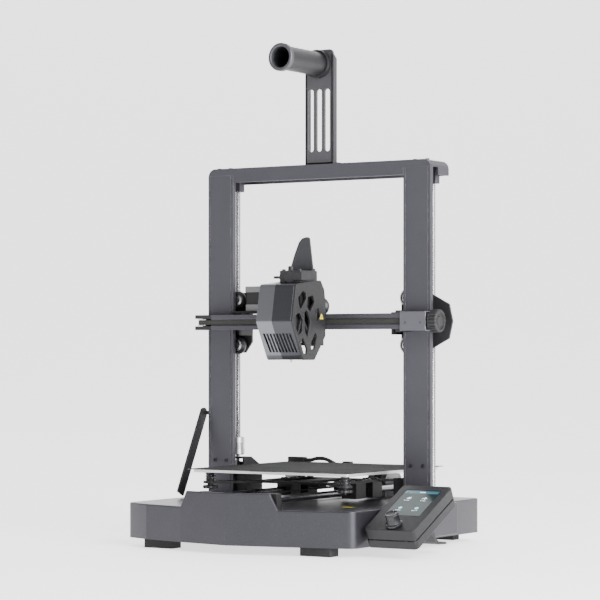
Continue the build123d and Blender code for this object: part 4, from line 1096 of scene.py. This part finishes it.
def addSpring(bm, centre, radius, wire, z0, z1, turns, sides=6, perTurn=16):
    steps = int(turns * perTurn)
    rings = []
    for k in range(steps + 1):
        angle = 2 * math.pi * k / perTurn
        z = z0 + (z1 - z0) * k / steps
        out = Vector((math.cos(angle), math.sin(angle), 0))
        ring = []
        for s in range(sides):
            turn = 2 * math.pi * s / sides
            ring.append(bm.verts.new(centre + out * (radius + wire * math.cos(turn)) * mm
                                     + Vector((0, 0, (z + wire * math.sin(turn)) * mm))))
        rings.append(ring)
    for a, b in zip(rings, rings[1:]):
        for s in range(sides):
            t = (s + 1) % sides
            bm.faces.new((a[s], a[t], b[t], b[s]))
    bm.faces.new(rings[0])
    bm.faces.new(list(reversed(rings[-1])))


bedFitting = dict(acrossX=102, acrossY=98, plateTop=83, springRadius=6.6, wire=0.55, turns=3,
                  wheelLow=73.4, boltRadius=1.6, boltLow=71.2, boltLength=9.0,
                  bearingX=50, bearingY=(8, 16, 50, 58), screwSpread=7)


def buildBedFittings():
    # springs round the spacers, and ribbed levelling wheels under the carriage corners
    f = bedFitting
    bedLow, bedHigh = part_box("heated_bed")
    middleX = (bedLow.x + bedHigh.x) / 2
    middleY = (bedLow.y + bedHigh.y) / 2
    springs, wheels, nuts = bmesh.new(), bmesh.new(), bmesh.new()

    def petals(radius, angle, height):
        return radius * (1 + 0.05 * math.cos(12 * angle)) if radius > 7 * mm else radius

    for side in (-1, 1):
        for end in (-1, 1):
            centre = Vector((middleX + side * f["acrossX"] * mm, middleY + end * f["acrossY"] * mm, 0))
            addSpring(springs, centre, f["springRadius"], f["wire"], f["plateTop"] + 0.6,
                      bedLow.z / mm - 0.7, f["turns"])
            profile = scaled([(2.0, 0), (8.4, 0), (9.2, 0.8), (9.2, 3.2), (8.6, 4.0), (4.0, 4.4), (3.6, 6.4),
                              (1.9, 6.4)])
            addRing(wheels, profile, tall(centre + Vector((0, 0, f["wheelLow"] * mm))), 72, petals)
            bolt = scaled([(f["boltRadius"], 0), (f["boltRadius"], f["boltLength"])])
            addTurned(nuts, bolt, tall(centre + Vector((0, 0, f["boltLow"] * mm))), 16)
    meshPiece("bedSprings", springs, finish["rodSteel"], "bed")
    meshPiece("levelWheels", wheels, finish["blackPlastic"], "bed")
    meshPiece("levelBolts", nuts, finish["darkScrew"], "bed")
    screws = bmesh.new()
    for side in (-1, 1):
        for y in f["bearingY"]:
            for dx in (-f["screwSpread"], f["screwSpread"]):
                spot = at(side * f["bearingX"] + dx, y, f["plateTop"])
                addSocketScrew(screws, tall(spot), 2.4, 1.6)
    meshPiece("bearingScrews", screws, finish["darkScrew"], "bed")


def buildBedCable():
    # heater lead from its holder over the rear edge to the bed's socket
    low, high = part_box("bed_cable")
    radius = 2.6 * mm
    y = (low.y + high.y) / 2
    left, right = -98.0, -36.0
    points = [(left, 101.5), (left + 10, 101.5), (-80, 104), (-68, 104.2), (-58, 101), (-48, 96), (right, 96)]
    bends = [24.7, 26.2, 28.7, 61.3, 21.3]
    path = [Vector((at(points[0][0], 0, 0).x, y, points[0][1] * mm))]
    for before, corner, after, bend in zip(points, points[1:], points[2:], bends):
        c = Vector(corner)
        a = (Vector(before) - c).normalized()
        b = (Vector(after) - c).normalized()
        half = a.angle(b) / 2
        reach = bend / math.tan(half)
        centre = c + (a + b).normalized() * bend / math.sin(half)
        start, end = c + a * reach - centre, c + b * reach - centre
        turn = start.angle_signed(end)
        for k in range(7):
            p = centre + Matrix.Rotation(-turn * k / 6, 2) @ start
            path.append(Vector((at(p.x, 0, 0).x, y, p.y * mm)))
    path.append(Vector((at(points[-1][0], 0, 0).x, y, points[-1][1] * mm)))
    curve = bpy.data.curves.new("bedCable", "CURVE")
    curve.dimensions = "3D"
    curve.bevel_depth = radius
    curve.bevel_resolution = 4
    curve.use_fill_caps = True
    spline = curve.splines.new("POLY")
    spline.points.add(len(path) - 1)
    for point, spot in zip(spline.points, path):
        point.co = (*spot, 1)
    spline.use_smooth = True
    cable = bpy.data.objects.new("bedCable", curve)
    bpy.context.scene.collection.objects.link(cable)
    curve.materials.append(finish["rubberBlack"])
    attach(cable, "bed")
    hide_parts("bed_cable")


buildPlate()
buildBedFittings()
buildBedCable()
print("bed built")


# screws: dark socket heads on the column feet, the beam and the bracket
screwPlaces = dict(spread=9, footZ=105, beamY=11, beamZ=495, bracketX=12, bracketY=24, bracketZ=498)


def buildScrews():
    p = screwPlaces
    bm = bmesh.new()
    for side in (-1, 1):
        for dx in (-p["spread"], p["spread"]):
            x = side * columnX + dx
            addSocketScrew(bm, alongY(at(x, 0.2, p["footZ"])), 2.6, 1.6)
            addSocketScrew(bm, tall(at(x, p["beamY"], p["beamZ"])), 2.8, 1.5)
    for x in (-p["bracketX"], p["bracketX"]):
        addSocketScrew(bm, tall(at(x, p["bracketY"], p["bracketZ"])), 3.2, 2.0)
    meshPiece("frameScrews", bm, finish["darkScrew"], "frame", replaces=("frame_screws",))


# spool holder: folded bracket with three slots, smooth arm with an end ring
spoolShape = dict(sheet=3.0, slotPitch=12.4, slotHalf=3.75, slotLow=512, slotHigh=593.5, slotCorner=3.6,
                  fold=10, foot=26, bore=13.5, tube=15.5, collar=18.5, ringRadius=18, ringLength=7)


def buildSpoolHolder():
    h = spoolShape
    low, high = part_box("spool_bracket")
    front, half, t = low.y / mm, (high.x - low.x) / 2 / mm, h["sheet"]
    centre = (low.x + high.x) / 2
    bm = bmesh.new()
    z0, z1 = low.z / mm, high.z / mm
    plate = roundedLine([(-half, z0), (half, z0), (half, z1), (-half, z1)], [0, 0, 6, 6], 6)
    addOutline(bm, [(centre + p.x * mm, p.y * mm) for p in plate], 1, front * mm, (front + t) * mm)
    bracket = meshPiece("spoolBracket", bm, finish["bracketGrey"], "frame", smooth=False,
                        replaces=("spool_bracket",))
    cutter = bmesh.new()
    for i in (-1, 0, 1):
        x0, x1 = h["slotPitch"] * i - h["slotHalf"], h["slotPitch"] * i + h["slotHalf"]
        corners = [(x0, h["slotLow"]), (x1, h["slotLow"]), (x1, h["slotHigh"]), (x0, h["slotHigh"])]
        slot = roundedLine(corners, [h["slotCorner"]] * 4, 6)
        line = [(centre + p.x * mm, p.y * mm) for p in slot]
        addOutline(cutter, line, 1, (front - 2) * mm, (front + 5) * mm)
    cutWith(bracket, [looseObject("slotCut", cutter)])
    finishEdges(bracket, 0.5)
    folds = bmesh.new()
    for side in (-1, 1):
        x0, x1 = sorted((side * (half - t), side * half))
        reach = front + h["fold"]
        flange = [(front, z0), (reach, z0), (reach, z1 - 12), (front + t, z1 - 6), (front, z1 - 6)]
        addOutline(folds, scaled(flange), 0, centre + x0 * mm, centre + x1 * mm)
    addBox(folds, Vector(low), Vector((high.x, low.y + h["foot"] * mm, low.z + t * mm)))
    meshPiece("bracketFolds", folds, finish["bracketGrey"], "frame", bevel=0.5, replaces=("spool_bracket",))
    low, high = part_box("spool_arm")
    axis = Vector(((low.x + high.x) / 2, 0, (low.z + high.z) / 2))
    length = (high.y - low.y) / mm
    tube = bmesh.new()
    start = Vector((axis.x, high.y, axis.z))
    ends = length - h["ringLength"]
    bore, outer, collar, rim = h["bore"], h["tube"], h["collar"], h["ringRadius"]
    addRing(tube, scaled([(bore, 8), (collar, 8), (collar, 5), (outer, 4.2), (outer, ends), (bore, ends)]),
            alongY(start), 72)
    cap = [(collar - 0.3, 0), (collar, 0.4), (collar, 4.8), (collar - 0.4, 5.2)]
    addTurned(tube, scaled(cap), alongY(start), 72)
    meshPiece("spoolTube", tube, finish["armPlastic"], "frame", bevel=0.2, replaces=("spool_arm",))
    ring = bmesh.new()
    lip = [(bore, ends - 1), (outer, ends - 0.6), (rim - 0.6, ends), (rim, ends + 0.8), (rim, length - 1.2),
           (rim - 1, length), (bore + 0.9, length), (bore, length - 0.8)]
    addRing(ring, scaled(lip), alongY(start), 72)
    meshPiece("armRing", ring, finish["bracketGrey"], "frame", replaces=("spool_arm",))


buildScrews()
buildSpoolHolder()
print("spool holder built")


# stepper motors: light end caps round a dark laminated stack, with boss, shaft and corner screws
motorSizes = dict(width=42.0, chamfer=4.5, inset=0.5, cap=9.0, foot=8.0, boss=11.0, shaft=2.5,
                  leftShaft=25.9, rightShaft=12.4, screwY=41.0)


def addMotor(light, dark, place, height, shaftUp):
    half = motorSizes["width"] / 2

    def layer(bm, low, high, inset):
        reach, cut = half - inset, motorSizes["chamfer"]
        line = [(reach - cut, -reach), (reach, cut - reach), (reach, reach - cut), (reach - cut, reach),
                (cut - reach, reach), (-reach, reach - cut), (-reach, cut - reach), (cut - reach, -reach)]
        rings = [[bm.verts.new(place @ Vector((x * mm, y * mm, z * mm))) for x, y in line]
                 for z in (low, high)]
        bm.faces.new(rings[0])
        bm.faces.new(list(reversed(rings[1])))
        for i in range(8):
            j = (i + 1) % 8
            bm.faces.new((rings[0][i], rings[0][j], rings[1][j], rings[1][i]))

    cap, foot = motorSizes["cap"], motorSizes["foot"]
    layer(light, 0, foot, 0)
    layer(dark, foot, height - cap, motorSizes["inset"])
    layer(light, height - cap, height, 0)
    boss, shaft = motorSizes["boss"], motorSizes["shaft"]
    collar = [(boss, height), (boss, height + 1.8), (8.0, height + 1.8), (8.0, height + 1.2),
              (3.6, height + 1.2), (3.6, height)]
    addTurned(light, scaled(collar), place, 48)
    addTurned(light, scaled([(shaft, height), (shaft, height + shaftUp)]), place, 24)
    for sx in (-1, 1):
        for sy in (-1, 1):
            corner = place @ Matrix.Translation((sx * 15.5 * mm, sy * 15.5 * mm, 0))
            ring = scaled([(2.2, 0.3), (2.2, 0.0), (1.2, 0.0), (1.2, 0.9)])
            addTurned(dark, ring, corner, 16)


def buildMotors():
    low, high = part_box("x_motor")
    light, dark = bmesh.new(), bmesh.new()
    top = Vector(((low.x + high.x) / 2, (low.y + high.y) / 2, high.z))
    place = Matrix.Translation(top) @ Matrix.Rotation(math.pi, 4, "X")
    addMotor(light, dark, place, 33, 20.9)
    meshPiece("xMotorCaps", light, finish["motorGrey"], "gantry", bevel=0.3, replaces=("x_motor",))
    meshPiece("xMotorStack", dark, finish["motorStack"], "gantry", bevel=0.2, replaces=("x_motor",))
    light, dark = bmesh.new(), bmesh.new()
    y = motorSizes["screwY"]
    addMotor(light, dark, tall(at(-columnX, y, 60)), 34, motorSizes["leftShaft"])
    addMotor(light, dark, tall(at(columnX, y, 16.5)), 36, motorSizes["rightShaft"])
    rear = Matrix.Translation(at(38, 136, 65)) @ Matrix.Rotation(math.radians(-90), 4, "Y")
    addMotor(light, dark, rear, 28.5, 16)
    meshPiece("baseMotorCaps", light, finish["motorGrey"], "frame", bevel=0.3, replaces=("stepper_motors",))
    addBox(dark, at(-165.8, 26, 56), at(-135.8, 56, 60))
    meshPiece("baseMotorStacks", dark, finish["motorStack"], "frame", bevel=0.2, replaces=("stepper_motors",))


# guide wheels: black tyre with a shallow V tread round a bright bearing
wheelSizes = dict(radius=12.0, half=5.1, tip=1.75, hub=7.4, bearing=4.6, bore=2.55)


def buildWheels():
    reach, half, tip = wheelSizes["radius"], wheelSizes["half"], wheelSizes["tip"]
    shoulder = reach - (half - tip)
    hub, bearing, bore = wheelSizes["hub"], wheelSizes["bearing"], wheelSizes["bore"]
    tyre = scaled([(hub, -half + 0.9), (hub + 0.5, -half + 0.2), (shoulder - 0.2, -half + 0.02),
                   (reach - 0.25, -tip),
                   (reach - 0.05, -tip * 0.6), (reach - 0.05, tip * 0.6), (reach - 0.25, tip),
                   (shoulder - 0.2, half - 0.02), (hub + 0.5, half - 0.2), (hub, half - 0.9)])
    core = scaled([(bore, -half + 0.3), (bearing, -half + 0.3), (bearing, -half + 0.7), (hub, -half + 1.0),
                   (hub, half - 1.0), (bearing, half - 0.7), (bearing, half - 0.3), (bore, half - 0.3)])
    for node in sorted(name for name in frame["nodes"] if name.endswith("_wheel")):
        low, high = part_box(node)
        place = alongY((low + high) / 2)
        rim, middle = bmesh.new(), bmesh.new()
        addRing(rim, tyre, place, 64)
        addRing(middle, core, place, 40)
        word = "".join(part.capitalize() for part in node.split("_"))
        meshPiece(f"tyre{word}", rim, finish["wheelPlastic"], f"body_{node}", replaces=(node,))
        meshPiece(f"bearing{word}", middle, finish["steelBright"], f"body_{node}", replaces=(node,))


def buildVentShade():
    # dark sheet behind the vents of the head cover: painted shade, standing in for the dark inside of the
    # head
    shadeSheet = bmesh.new()
    bend = ((-99.0, 287.0), (-77.5, 248.5), (-76.2, 249.3), (-97.6, 287.6))
    line = [at(0, y, z).yz for y, z in bend]
    addOutline(shadeSheet, line, 0, at(-22.4, 0, 0).x, at(23.2, 0, 0).x)
    meshPiece("headLiner", shadeSheet, finish["blackPlastic"], "print_head", smooth=False)


buildMotors()
buildWheels()
buildVentShade()
print("motors and wheels built")
